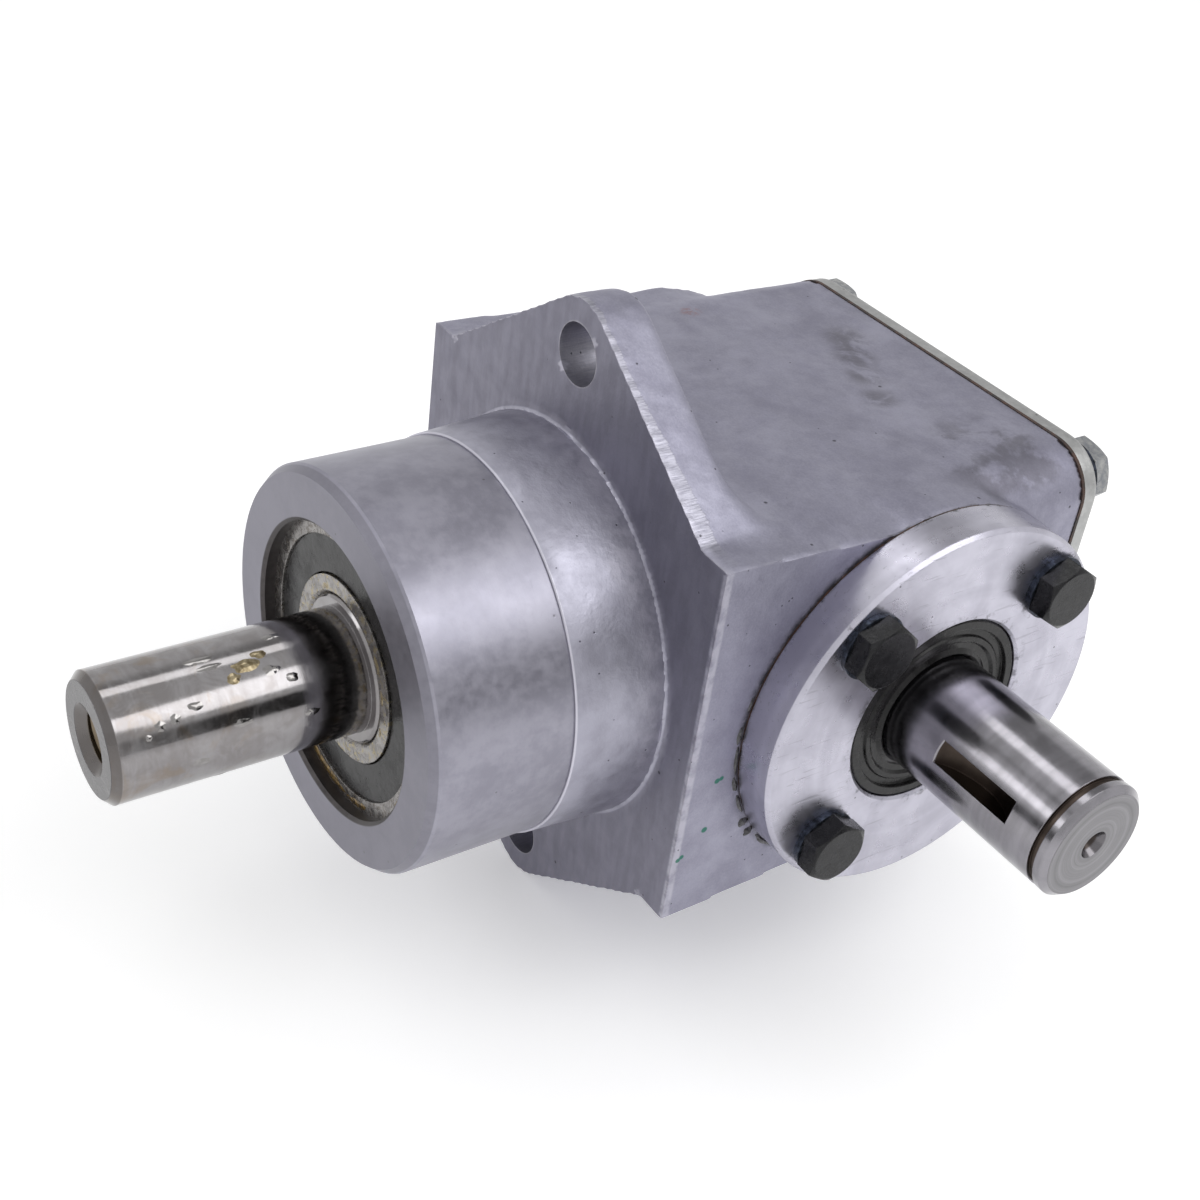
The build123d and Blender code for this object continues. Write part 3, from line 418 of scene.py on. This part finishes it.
def front_shaft_steel():
    """Front shaft: ground steel under a film of oil, with brown stains, runs and a scratched end face that is
    painted darker as shade.
    """
    g = new_look("front_shaft_steel")
    around = g.length(g.x, g.z)
    lines = g.noise(0.2 * MM, 3, 0.6, 0, g.stretched(0.05, 1, 0.05))
    bands = g.noise(3 * MM, 3, 0.6, 0.3, g.stretched(0.15, 1, 0.15))
    film = g.noise(5 * MM, 5, 0.62, 1.0)
    tone = g.total(g.product(bands, 0.4), g.product(film, 0.6))
    colour = g.mix(g.fade(tone, 0.38, 0.62), (0.235, 0.222, 0.222), (0.30, 0.29, 0.295))
    brown = g.product(g.fade(g.noise(8 * MM, 4, 0.6, 1.0), 0.52, 0.7), g.fade(g.y, -60 * MM, -85 * MM))
    colour = g.mix(g.product(brown, 0.4), colour, (0.24, 0.18, 0.12))
    specks = g.specks(3.4 * MM, 0.2 * MM, 0.25)
    colour = g.mix(g.product(specks, 0.7), colour, (0.05, 0.045, 0.04))
    # Turned end face, painted darker than the shaft as shade, with turned marks and scratches; the chamfer;
    # and the tapped hole
    end = g.fade(g.y, shaft_end_y + 0.04 * MM, shaft_end_y + 0.12 * MM, 1, 0)
    chamfer = g.product(g.fade(g.y, shaft_end_y + 1.4 * MM, shaft_end_y + 1.6 * MM, 1, 0),
                        g.fade(around, 10.9 * MM, 11.2 * MM))
    facing = g.noise(0.25 * MM, 3, 0.7, 0, g.joined(around, 0.0))
    scratch = g.fade(g.noise(0.5 * MM, 3, 0.6, 0.5, g.stretched(0.08, 1, 1)), 0.58, 0.68)
    plain = g.mix(g.fade(g.total(g.product(facing, 0.4), g.product(film, 0.6)), 0.35, 0.65),
                  (0.055, 0.052, 0.055), (0.12, 0.115, 0.12))
    plain = g.mix(g.product(scratch, 0.55), plain, (0.24, 0.23, 0.235))
    # The end face takes its darker colour here: painted shade
    colour = g.mix(end, colour, plain)
    colour = g.mix(g.product(chamfer, g.less(1.0, end), 0.7), colour, (0.10, 0.09, 0.085))
    bore = g.product(g.fade(around, 7.0 * MM, 7.2 * MM, 1, 0), g.less(1.0, end))
    deep = g.fade(g.y, shaft_end_y + 1.6 * MM, shaft_end_y + 2.2 * MM)
    sunk = g.mix(deep, (0.13, 0.12, 0.115), g.mix(film, (0.10, 0.07, 0.035), (0.26, 0.21, 0.14)))
    colour = g.mix(g.product(bore, 0.85), colour, sunk)
    g.set("Base Color", colour)
    g.set("Metallic", g.less(1.0, g.product(end, 0.6)))
    smooth = g.fade(g.total(g.product(film, 0.7), g.product(lines, 0.3)), 0.35, 0.65, 0.09, 0.17)
    g.set("Roughness", g.total(smooth, g.product(g.math("MAXIMUM", end, bore), 0.16)))
    runs = g.noise(6 * MM, 2, 0.45, 0.4)
    relief = g.total(g.product(lines, 0.06), g.product(runs, 0.9), g.product(facing, end, 0.4))
    g.set("Normal", g.bump(relief, 0.05 * MM, 0.7, g.rounded(0.3 * MM)))
    return g.owner


def side_shaft_steel():
    """Side shaft: clean ground steel, with a brown-black keyseat and groove and a turned end."""
    g = new_look("side_shaft_steel")
    across = g.less(g.y, side_axis_y)
    around = g.length(across, g.z)
    lines = g.noise(0.16 * MM, 3, 0.6, 0, g.stretched(1, 0.04, 0.04))
    bands = g.noise(2.4 * MM, 2, 0.5, 0, g.stretched(1, 0.06, 0.06))
    smudge = g.noise(6 * MM, 4, 0.6, 0.6)
    tone = g.total(g.product(bands, 0.5), g.product(smudge, 0.5))
    colour = g.mix(g.fade(tone, 0.36, 0.64), (0.235, 0.228, 0.245), (0.31, 0.30, 0.325))
    colour = g.mix(g.product(g.specks(3 * MM, 0.2 * MM, 0.3), 0.7), colour, (0.05, 0.045, 0.045))
    end = g.fade(g.x, key_end_x - 0.12 * MM, key_end_x - 0.04 * MM)
    cut = g.product(g.fade(around, 12.3 * MM, 12.45 * MM, 1, 0),
                    g.fade(g.x, key_end_x - 1.2 * MM, key_end_x - 1.6 * MM))
    colour = g.mix(cut, colour, g.mix(smudge, (0.03, 0.022, 0.018), (0.12, 0.095, 0.08)))
    facing = g.noise(0.25 * MM, 3, 0.7, 0, g.joined(around, 0.0))
    broad = g.noise(1.5 * MM, 2, 0.5, 0, g.joined(around, 0.0))
    plain = g.mix(g.fade(g.total(g.product(facing, 0.5), g.product(broad, 0.5)), 0.35, 0.65),
                  (0.15, 0.147, 0.155), (0.27, 0.263, 0.28))
    colour = g.mix(end, colour, plain)
    dark_core = g.product(g.fade(around, 3.0 * MM, 3.15 * MM, 1, 0), g.less(1.0, end))
    colour = g.mix(g.product(dark_core, 0.6), colour, (0.05, 0.045, 0.045))
    g.set("Base Color", colour)
    g.set("Metallic", g.less(1.0, g.product(end, 0.4)))
    smooth = g.fade(g.total(g.product(smudge, 0.6), g.product(lines, 0.4)), 0.35, 0.65, 0.15, 0.22)
    g.set("Roughness", g.total(smooth, g.product(g.math("MAXIMUM", end, cut), 0.16)))
    relief = g.total(g.product(lines, 0.5), g.product(facing, end, 0.8))
    g.set("Normal", g.bump(relief, 0.015 * MM, 0.6, g.rounded(0.25 * MM)))
    return g.owner


def front_ring_steel():
    """Rings of the front bearing: pale face with yellow specks of grease and a dark rim."""
    g = new_look("front_ring_steel")
    around = g.length(g.x, g.z)
    rings = g.noise(0.3 * MM, 3, 0.7, 0, g.joined(around, g.y))
    film = g.noise(2.2 * MM, 5, 0.65, 0.6)
    colour = g.mix(g.fade(film, 0.35, 0.65), (0.16, 0.15, 0.145), (0.36, 0.345, 0.335))
    grease = g.fade(g.noise(1.1 * MM, 4, 0.65, 0.4), 0.52, 0.62)
    inner = g.fade(around, 20.5 * MM, 21.5 * MM, 1, 0)
    colour = g.mix(g.product(grease, inner, 0.7), colour, (0.40, 0.33, 0.17))
    colour = g.mix(g.product(grease, g.less(1.0, inner), 0.6), colour, (0.10, 0.075, 0.05))
    g.set("Base Color", colour)
    g.set("Metallic", 0.9)
    g.set("Roughness", g.fade(film, 0.3, 0.7, 0.18, 0.36))
    g.set("Normal", g.bump(g.total(g.product(rings, 0.3), grease), 0.03 * MM, 0.7, g.rounded(0.3 * MM)))
    return g.owner


def dull_steel(name, light, dark, low, high, metallic=0.75):
    """Zinc-plated, blackened or stamped steel, cloudy, with a roughness from low to high."""
    g = new_look(name)
    tone = g.noise(1.5 * MM, 5, 0.65, 0.5)
    g.set("Base Color", g.mix(g.fade(tone, 0.35, 0.75), dark, light))
    g.set("Metallic", metallic)
    g.set("Specular IOR Level", 0.3)
    g.set("Roughness", g.fade(g.noise(2 * MM, 4, 0.6), 0.3, 0.7, low, high))
    g.set("Normal", g.bump(g.noise(0.7 * MM, 4, 0.6), 0.06 * MM, 0.6, g.rounded(0.4 * MM)))
    return g.owner


def rubber():
    """Oily black rubber of the seals, with dust and glossy patches."""
    g = new_look("seal_rubber")
    tone = g.noise(3 * MM, 4, 0.6)
    colour = g.mix(g.fade(tone, 0.3, 0.7), (0.004, 0.004, 0.004), (0.014, 0.013, 0.014))
    colour = g.mix(g.product(g.specks(2.2 * MM, 0.14 * MM, 0.2), 0.5), colour, (0.16, 0.15, 0.135))
    g.set("Base Color", colour)
    g.set("Roughness", g.fade(g.noise(4 * MM, 4, 0.6), 0.35, 0.65, 0.12, 0.32))
    g.set("Specular IOR Level", 0.24)
    g.set("Normal", g.bump(g.noise(1.2 * MM, 4, 0.6), 0.08 * MM, 0.6, g.rounded(0.3 * MM)))
    return g.owner


def brass():
    g = new_look("cage_brass")
    g.set("Base Color", g.mix(g.fade(g.noise(3 * MM, 3, 0.6), 0.3, 0.7), (0.42, 0.27, 0.09), (0.7, 0.5, 0.2)))
    g.set("Metallic", 1.0)
    g.set("Roughness", 0.32)
    g.set("Normal", g.bump(g.noise(0.5 * MM, 3, 0.6), 0.03 * MM))
    return g.owner


def oil(name, light, dark, metallic):
    """Glossy oil or grease with cloudy colour."""
    g = new_look(name)
    tone = g.noise(1.2 * MM, 4, 0.6, 0.4)
    g.set("Base Color", g.mix(g.fade(tone, 0.35, 0.65), dark, light))
    g.set("Metallic", metallic)
    g.set("Roughness", g.fade(g.noise(1.6 * MM, 3, 0.6), 0.3, 0.7, 0.05, 0.16))
    g.set("Normal", g.bump(g.noise(0.9 * MM, 3, 0.6), 0.05 * MM, 0.6))
    return g.owner


looks = {
    "cast_aluminium": cast_aluminium(),
    "machined_aluminium": turned_aluminium(),
    "cover_aluminium": plate_aluminium(),
    "gasket_paper": gasket_paper(),
    "zinc_bolts": dull_steel("zinc", (0.46, 0.46, 0.45), (0.24, 0.25, 0.27), 0.25, 0.45),
    "dark_washers": dull_steel("dark_washers", (0.07, 0.085, 0.12), (0.012, 0.014, 0.02), 0.25, 0.45),
    "black_bolts": dull_steel("black_bolts", (0.016, 0.016, 0.018), (0.004, 0.004, 0.005), 0.18, 0.34, 0.1),
    "seal_rubber": rubber(),
    "seal_steel": ground_steel("seal_steel", 0, (0.3, 0.3, 0.3), (0.12, 0.12, 0.12)),
    "bearing_steel": ground_steel("bearing_steel", 1, (0.55, 0.54, 0.52), (0.35, 0.34, 0.32), 0.12, 0.25),
    "cage_brass": brass(),
    "sleeve_steel": ground_steel("sleeve_steel", 1, (0.5, 0.5, 0.5), (0.3, 0.3, 0.3)),
    "circlip_steel": dull_steel("circlip_steel", (0.12, 0.12, 0.12), (0.03, 0.03, 0.03), 0.3, 0.5),
    "gear_steel": ground_steel("gear_steel", 1, (0.45, 0.44, 0.43), (0.25, 0.24, 0.23), 0.25, 0.4),
    "shaft_steel": side_shaft_steel(),
}
own_looks = {
    "front_shaft": front_shaft_steel(),
    "front_bearing_inner_ring": front_ring_steel(),
    "front_bearing_outer_ring": front_ring_steel(),
    "side_seal_case": looks["seal_rubber"],
}
for entry in frame["record"]["subparts"]:
    look = own_looks.get(entry["node"], looks[entry["material_slot"]])
    for slot in nodes[entry["node"]].material_slots:
        slot.material = look


def add_piece(name, builder, look, body, sharp=50):
    """Piece of a finished mesh that rides on a body, smooth but for edges sharper than an angle."""
    bmesh.ops.recalc_face_normals(builder, faces=builder.faces)
    for face in builder.faces:
        face.smooth = True
    for edge in builder.edges:
        edge.smooth = edge.calc_face_angle(0.0) < math.radians(sharp)
    mesh = bpy.data.meshes.new(name)
    builder.to_mesh(mesh)
    builder.free()
    mesh.materials.append(look)
    piece = bpy.data.objects.new(name, mesh)
    bpy.context.collection.objects.link(piece)
    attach(piece, body)
    return piece


def soften(points, links, share, rounds):
    """Moves each point its share of the way to the mean of its neighbours, as many times as rounds says."""
    size = len(points)
    first, second = links.T
    count = np.bincount(links.ravel(), minlength=size)
    for _ in range(rounds):
        for axis in range(3):
            values = points[:, axis]
            mean = np.bincount(first, values[second], size) + np.bincount(second, values[first], size)
            points[:, axis] = values + share * (mean / count - values)


def cut_at_neck(builder, keep_front):
    """Keeps the part of a mesh before or behind the root of the neck, and closes it."""
    cut = bmesh.ops.bisect_plane(builder, geom=[*builder.verts, *builder.edges, *builder.faces],
                                 dist=1e-7, plane_co=(0, neck_cut_y, 0), plane_no=(0, 1, 0),
                                 clear_outer=keep_front, clear_inner=not keep_front)
    edges = [item for item in cut["geom_cut"] if isinstance(item, bmesh.types.BMEdge)]
    bmesh.ops.triangle_fill(builder, use_beauty=True, edges=edges)


def round_step(builder):
    """Rounds the edge where the neck steps up from the turned boss."""
    along_close, across_close = 1e-6, 1e-5
    edges = [edge for edge in builder.edges if all(
        abs(vert.co.y - turned_end_y) < along_close
        and abs(math.hypot(vert.co.x, vert.co.z) - neck_step_radius) < across_close
        for vert in edge.verts)]
    bmesh.ops.bevel(builder, geom=edges, offset=0.32 * MM, segments=3, affect="EDGES", profile=0.5)


def between(values, low, high):
    """Which values lie between two limits in millimetres."""
    return (values > low * MM) & (values < high * MM)


def snap_machined(points):
    """Puts the points by the machined faces right on them, and says which points those are."""
    x, y, z = points.T
    reach = 0.55 * MM
    around = np.hypot(x, z)
    fixed = np.zeros(len(points), bool)
    # Milled planes
    for axis, level, zone in ((1, 0.0, around > neck_root_radius + 0.7 * MM), (1, back_face_y, around > 0),
                              (0, pad_face_x, around > 0)):
        flat = (abs(points[:, axis] - level) < reach) & zone
        points[flat, axis] = level
        fixed |= flat
    # Root of the neck
    neck = (y > neck_cut_y - 1.2 * MM) & (y < -0.45 * MM) & (abs(around - neck_root_radius) < reach)
    for axis in (0, 2):
        points[neck, axis] *= neck_root_radius / around[neck]
    fixed |= neck
    # Drilled lug holes
    for side in (1, -1):
        off_x, off_z = points[:, 0], points[:, 2] - side * lug_hole_z
        off = np.hypot(off_x, off_z)
        drilled = (off < lug_hole_radius + reach) & (off > lug_hole_radius - reach)
        points[drilled, 0] = off_x[drilled] * lug_hole_radius / off[drilled]
        points[drilled, 2] = side * lug_hole_z + off_z[drilled] * lug_hole_radius / off[drilled]
        fixed |= drilled
    return fixed


def casting():
    """Housing: its cast skin remeshed, softened and roughened, its machined faces and its boss exact."""
    builder = bmesh.new()
    builder.from_mesh(nodes["housing"].data)
    bmesh.ops.remove_doubles(builder, verts=builder.verts, dist=1e-6)
    exact = bpy.data.meshes.new("housing_exact")
    builder.to_mesh(exact)
    builder.free()
    blank = bpy.data.objects.new("housing_blank", exact)
    bpy.context.collection.objects.link(blank)
    remesh = blank.modifiers.new("remesh", "REMESH")
    remesh.mode = "VOXEL"
    remesh.voxel_size = 0.85 * MM
    skin = bpy.data.meshes.new_from_object(blank.evaluated_get(bpy.context.evaluated_depsgraph_get()))
    bpy.data.objects.remove(blank)

    points = np.empty(len(skin.vertices) * 3)
    skin.vertices.foreach_get("co", points)
    points = points.reshape(-1, 3)
    links = np.empty(len(skin.edges) * 2, dtype=np.int64)
    skin.edges.foreach_get("vertices", links)
    links = links.reshape(-1, 2)
    free = np.where(snap_machined(points), 0.0, 0.5)
    soften(points, links, free, rounds=3)
    # The lugs' roots and the pads flow softly into the body
    x, y, z = points.T
    lug_root = (abs(z) > 35 * MM) & between(y, 5, 30) & (abs(x) < 48 * MM)
    pad_root = (abs(z) > 30 * MM) & between(y, 8, 70) & between(abs(x), 36, 50)
    soften(points, links, free * (lug_root | pad_root), rounds=22)
    skin.vertices.foreach_set("co", points.ravel())
    skin.update()
    normals = np.empty(len(points) * 3)
    skin.vertex_normals.foreach_get("vector", normals)
    broad, fine = 7 * MM, 2.3 * MM
    swell = np.array([0.13 * MM * noise.noise(Vector(point) / broad)
                      + 0.07 * MM * noise.noise(Vector(point) / fine) for point in points])
    points += normals.reshape(-1, 3) * (swell * (free > 0))[:, None]
    points = np.clip(points, np.array(housing_box[0]), np.array(housing_box[1]))
    skin.vertices.foreach_set("co", points.ravel())
    skin.update()

    behind = bmesh.new()
    behind.from_mesh(skin)
    cut_at_neck(behind, keep_front=False)
    behind.to_mesh(skin)
    behind.free()
    whole = bmesh.new()
    whole.from_mesh(exact)
    round_step(whole)
    cut_at_neck(whole, keep_front=True)
    whole.from_mesh(skin)
    return whole


housing = add_piece("casting", casting(), looks["cast_aluminium"], "gearcase", sharp=35)
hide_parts("housing")


def spiral_thread():
    """Thread in the front shaft's tapped hole, as one ridge wound along it."""
    pitch, turns, steps = 1.5 * MM, 16, 40
    start_y = shaft_end_y + 2.2 * MM
    root_radius, crest_radius = tapped_radius + 0.1 * MM, 4.62 * MM
    half_root, half_crest = 0.68 * MM, 0.1 * MM
    profile = ((root_radius, -half_root), (crest_radius, -half_crest), (crest_radius, half_crest),
               (root_radius, half_root))
    builder = bmesh.new()
    rows = []
    for step in range(turns * steps + 1):
        angle = 2 * math.pi * step / steps
        along = start_y + pitch * step / steps
        rows.append([builder.verts.new((radius * math.cos(angle), along + offset, radius * math.sin(angle)))
                     for radius, offset in profile])
    for before, after in zip(rows, rows[1:]):
        for side in range(len(profile)):
            other = (side + 1) % len(profile)
            builder.faces.new((before[side], before[other], after[other], after[side]))
    builder.faces.new(rows[0])
    builder.faces.new(rows[-1])
    return builder


add_piece("front_thread", spiral_thread(), own_looks["front_shaft"], "front_shaft_set",
          sharp=30)


def on_front_shaft(angle, along):
    """Places a bead on the front shaft: u goes round it, v along it, h above it, all in millimetres."""
    def lay(u, v, h):
        turn = math.radians(angle) + u * MM / shaft_radius
        radius = shaft_radius + h * MM
        return radius * math.cos(turn), (along + v) * MM, radius * math.sin(turn)
    return lay


def on_ring_face(angle, radius):
    """Places a bead on the front bearing's face: u goes round the axis, v outwards, h to the front."""
    def lay(u, v, h):
        turn = math.radians(angle) + u / radius
        return ((radius + v) * MM * math.cos(turn), ring_face_y - h * MM, (radius + v) * MM * math.sin(turn))
    return lay


def on_pad_face(angle, radius):
    """Places a bead on the pad beside the side cover: u goes round the side axis, v outwards, h off it."""
    def lay(u, v, h):
        turn = math.radians(angle) + u / radius
        return (pad_face_x + h * MM, side_axis_y + (radius + v) * MM * math.cos(turn),
                (radius + v) * MM * math.sin(turn))
    return lay


def bead(builder, lay, length, width, height, seed):
    """Low bead of oil with an uneven outline, sunk slightly into what it lies on, in millimetres."""
    rings, steps = 7, 36
    crown_height, sunk, foot_depth = 0.75 * height, 0.03, 0.12
    rows = []
    for ring in range(1, rings + 1):
        share = ring / rings
        row = []
        for step in range(steps):
            turn = 2 * math.pi * step / steps
            uneven = 1 + 0.38 * noise.noise((math.cos(turn) * 1.3 + seed, math.sin(turn) * 1.3, seed * 0.7))
            rise = crown_height * (1 - share * share) ** 1.4 - sunk
            row.append(builder.verts.new(lay(length / 2 * share * uneven * math.cos(turn),
                                             width / 2 * share * uneven * math.sin(turn), rise)))
        rows.append(row)
    crown = builder.verts.new(lay(0, 0, crown_height - sunk))
    foot = builder.verts.new(lay(0, 0, -foot_depth))
    for step in range(steps):
        other = (step + 1) % steps
        builder.faces.new((crown, rows[0][step], rows[0][other]))
        builder.faces.new((foot, rows[-1][other], rows[-1][step]))
        for inner, outer in zip(rows, rows[1:]):
            builder.faces.new((inner[step], outer[step], outer[other], inner[other]))


def beads(name, look, body, rows):
    """Piece of several beads, each given by its place, length, width and height."""
    builder = bmesh.new()
    for seed, (lay, length, width, height) in enumerate(rows):
        bead(builder, lay, length, width, height, seed * 3.7 + 0.4)
    add_piece(name, builder, look, body, sharp=60)


clear_oil = oil("clear_oil", (0.30, 0.29, 0.285), (0.25, 0.24, 0.235), 1.0)
grease = oil("grease", (0.36, 0.30, 0.19), (0.15, 0.115, 0.06), 0.6)
brown_oil = oil("brown_oil", (0.22, 0.14, 0.04), (0.05, 0.03, 0.01), 0.4)
beads("shaft_oil", clear_oil, "front_shaft_set", (
    (on_front_shaft(36, -87.6), 2.2, 2.2, 0.30), (on_front_shaft(38, -84.6), 1.9, 2.2, 0.26),
    (on_front_shaft(44, -80.6), 1.6, 3.4, 0.20), (on_front_shaft(29, -90.0), 1.3, 1.4, 0.18),
    (on_front_shaft(82, -77.0), 2.2, 6.4, 0.16), (on_front_shaft(73, -75.6), 1.8, 5.0, 0.18),
    (on_front_shaft(56, -65.0), 2.4, 3.6, 0.18), (on_front_shaft(46, -61.5), 2.0, 2.6, 0.20),
    (on_front_shaft(20, -72.5), 1.8, 4.2, 0.16), (on_front_shaft(88, -62.0), 1.6, 4.6, 0.14),
    (on_front_shaft(12, -59.0), 1.8, 3.4, 0.16), (on_front_shaft(-6, -81.0), 1.9, 3.8, 0.14),
    (on_front_shaft(150, -70.0), 1.6, 2.4, 0.15), (on_front_shaft(205, -82.0), 1.8, 2.0, 0.2),
    (on_front_shaft(262, -66.0), 1.7, 1.9, 0.25), (on_front_shaft(318, -76.0), 1.4, 2.8, 0.16)))
beads("shaft_grease", grease, "front_shaft_set", (
    (on_front_shaft(66, -69.4), 3.0, 5.4, 0.42), (on_front_shaft(57, -72.2), 2.2, 2.8, 0.32),
    (on_front_shaft(73, -66.2), 1.8, 3.4, 0.26)))
beads("ring_grease", grease, "front_shaft_set", (
    (on_ring_face(38, 16.6), 4.5, 1.6, 0.25), (on_ring_face(14, 16.4), 3.6, 1.5, 0.22),
    (on_ring_face(-14, 16.5), 2.6, 1.3, 0.2), (on_ring_face(120, 16.6), 3.0, 1.4, 0.2),
    (on_ring_face(200, 16.5), 3.2, 1.4, 0.2)))
beads("recess_oil", brown_oil, "gearcase", (
    (on_ring_face(-100, 28.6), 22.0, 2.4, 0.35), (on_ring_face(-128, 28.7), 12.0, 2.0, 0.3),
    (on_ring_face(-72, 28.8), 9.0, 1.8, 0.25), (on_ring_face(-30, 28.8), 7.0, 1.6, 0.2)))

sealant = oil("sealant", (0.07, 0.068, 0.075), (0.012, 0.011, 0.013), 0.0)
beads("cover_sealant", sealant, "gearcase", (
    (on_pad_face(178, 42.9), 5.0, 1.3, 0.5), (on_pad_face(186, 42.8), 7.5, 1.0, 0.45),
    (on_pad_face(195, 43.0), 4.0, 1.4, 0.5), (on_pad_face(203, 42.8), 6.0, 1.0, 0.45),
    (on_pad_face(211, 43.4), 3.2, 2.6, 0.8), (on_pad_face(216, 43.6), 2.6, 2.4, 0.9),
    (on_pad_face(224, 42.9), 7.0, 1.2, 0.5), (on_pad_face(234, 42.8), 5.0, 1.0, 0.45),
    (on_pad_face(243, 43.0), 5.5, 1.4, 0.5), (on_pad_face(168, 42.7), 4.0, 0.8, 0.4),
    (on_pad_face(20, 42.8), 6.0, 1.0, 0.4), (on_pad_face(330, 42.8), 7.0, 1.2, 0.45)))

# White floor, a little brighter where it is seen or mirrored, so that it meets the white behind it
floor_reach, floor_glow = 4.0, 0.2
floor_mesh = bpy.data.meshes.new("floor")
builder = bmesh.new()
bmesh.ops.create_grid(builder, x_segments=1, y_segments=1, size=floor_reach)
builder.to_mesh(floor_mesh)
builder.free()
floor = bpy.data.objects.new("floor", floor_mesh)
bpy.context.collection.objects.link(floor)
floor.location.z = cad_box[0].z
white = new_look("floor_white")
white.set("Base Color", (0.97, 0.97, 0.97))
white.set("Roughness", 0.9)
floor_path = white.tree.nodes.new("ShaderNodeLightPath")
floor_seen = white.math("MAXIMUM", floor_path.outputs["Is Camera Ray"], floor_path.outputs["Is Glossy Ray"])
floor_seen = white.math("MAXIMUM", floor_seen, floor_path.outputs["Is Transmission Ray"])
white.set("Emission Color", (1.0, 1.0, 1.0))
white.set("Emission Strength", white.product(floor_seen, floor_glow))
floor_mesh.materials.append(white.owner)


def direction(turn, rise):
    """Unit vector towards an azimuth, from +X towards +Y, and an elevation in degrees."""
    turn, rise = math.radians(turn), math.radians(rise)
    return Vector((math.cos(turn) * math.cos(rise), math.sin(turn) * math.cos(rise), math.sin(rise)))


def room():
    """White studio: plain white to the camera, with four dark screens round the object."""
    dome_level = 0.87
    # Azimuth, elevation, half width, half height, softness, and how bright each screen is
    screens = ((26, 5, 10, 18, 0.15, 0.06), (-121, 4, 9, 11, 0.3, 0.06),
               (-132, 50, 4, 4, 0.5, 0.5), (128, 48, 18, 18, 0.4, 0.5))
    world = bpy.data.worlds.new("room")
    bpy.context.scene.world = world
    g = Graph(world, "Background", "Generated")
    level = 1.0
    for turn, rise, wide, high, soft, shade in screens:
        centre = direction(turn, rise)
        level_line = direction(turn + 90, 0)
        ahead = g.dot(centre)
        u = g.math("DIVIDE", g.dot(level_line), g.product(ahead, math.tan(math.radians(wide))))
        v = g.math("DIVIDE", g.dot(centre.cross(level_line)), g.product(ahead, math.tan(math.radians(high))))
        off = g.math("POWER", g.total(g.math("POWER", g.math("ABSOLUTE", u), 4.0),
                                      g.math("POWER", g.math("ABSOLUTE", v), 4.0)), 0.25)
        screen = g.product(g.fade(off, 1 - soft, 1 + soft, 1, 0), g.fade(ahead, 0, 0.05))
        level = g.product(level, g.less(1.0, g.product(screen, 1 - shade)))
    light_path = g.tree.nodes.new("ShaderNodeLightPath")
    seen = light_path.outputs["Is Camera Ray"]
    level = g.product(level, dome_level)
    g.set("Color", g.mix(seen, g.joined(level, level, level), (1.0, 1.0, 1.0)))


room()


def soft_lamp(name, lit, turn, rise, distance, width, height, power):
    """Rectangular lamp at an azimuth and elevation from the point that it lights, facing it."""
    lamp = bpy.data.lights.new(name, "AREA")
    lamp.shape = "RECTANGLE"
    lamp.size = width
    lamp.size_y = height
    lamp.energy = power
    holder = bpy.data.objects.new(name, lamp)
    towards = direction(turn, rise)
    holder.location = Vector(lit) * MM + distance * towards
    holder.rotation_mode = "QUATERNION"
    holder.rotation_quaternion = (-towards).to_track_quat("-Z", "Y")
    holder.visible_camera = False
    bpy.context.collection.objects.link(holder)


soft_lamp("right_lamp", (18, -50, 18), 38, 47, 0.55, 0.36, 0.27, 0.75)
soft_lamp("back_lamp", (85, 48, 10), 175, 62, 0.55, 0.16, 0.13, 0.13)
soft_lamp("left_lamp", (85, 45, 10), -121, 30, 0.60, 0.18, 0.14, 0.17)

# Camera at the photograph's place
azimuth, elevation, roll = (math.radians(angle) for angle in (51.708, 34.285, 8.274))
camera_distance = 377.03 * MM
aim = Vector((0, 20 * MM, 0))
shift_right, shift_up = -5.240 * MM, -2.160 * MM
focal_pixels, frame_pixels = 1772.787, 1200
sensor_width = 36.0
back = Vector((math.sin(azimuth) * math.cos(elevation), -math.cos(azimuth) * math.cos(elevation),
               math.sin(elevation)))
level = Vector((math.cos(azimuth), math.sin(azimuth), 0))
upright = back.cross(level)
right = math.cos(roll) * level + math.sin(roll) * upright
up = math.cos(roll) * upright - math.sin(roll) * level
camera = bpy.data.objects.new("camera", bpy.data.cameras.new("camera"))
camera.data.sensor_width = sensor_width
camera.data.lens = sensor_width * focal_pixels / frame_pixels
camera.data.clip_start = 0.01
camera.location = aim + shift_right * right + shift_up * up + camera_distance * back
camera.rotation_mode = "QUATERNION"
camera.rotation_quaternion = Matrix((right, up, back)).transposed().to_quaternion()
bpy.context.collection.objects.link(camera)
bpy.context.scene.camera = camera

bpy.context.scene.view_settings.view_transform = "Standard"
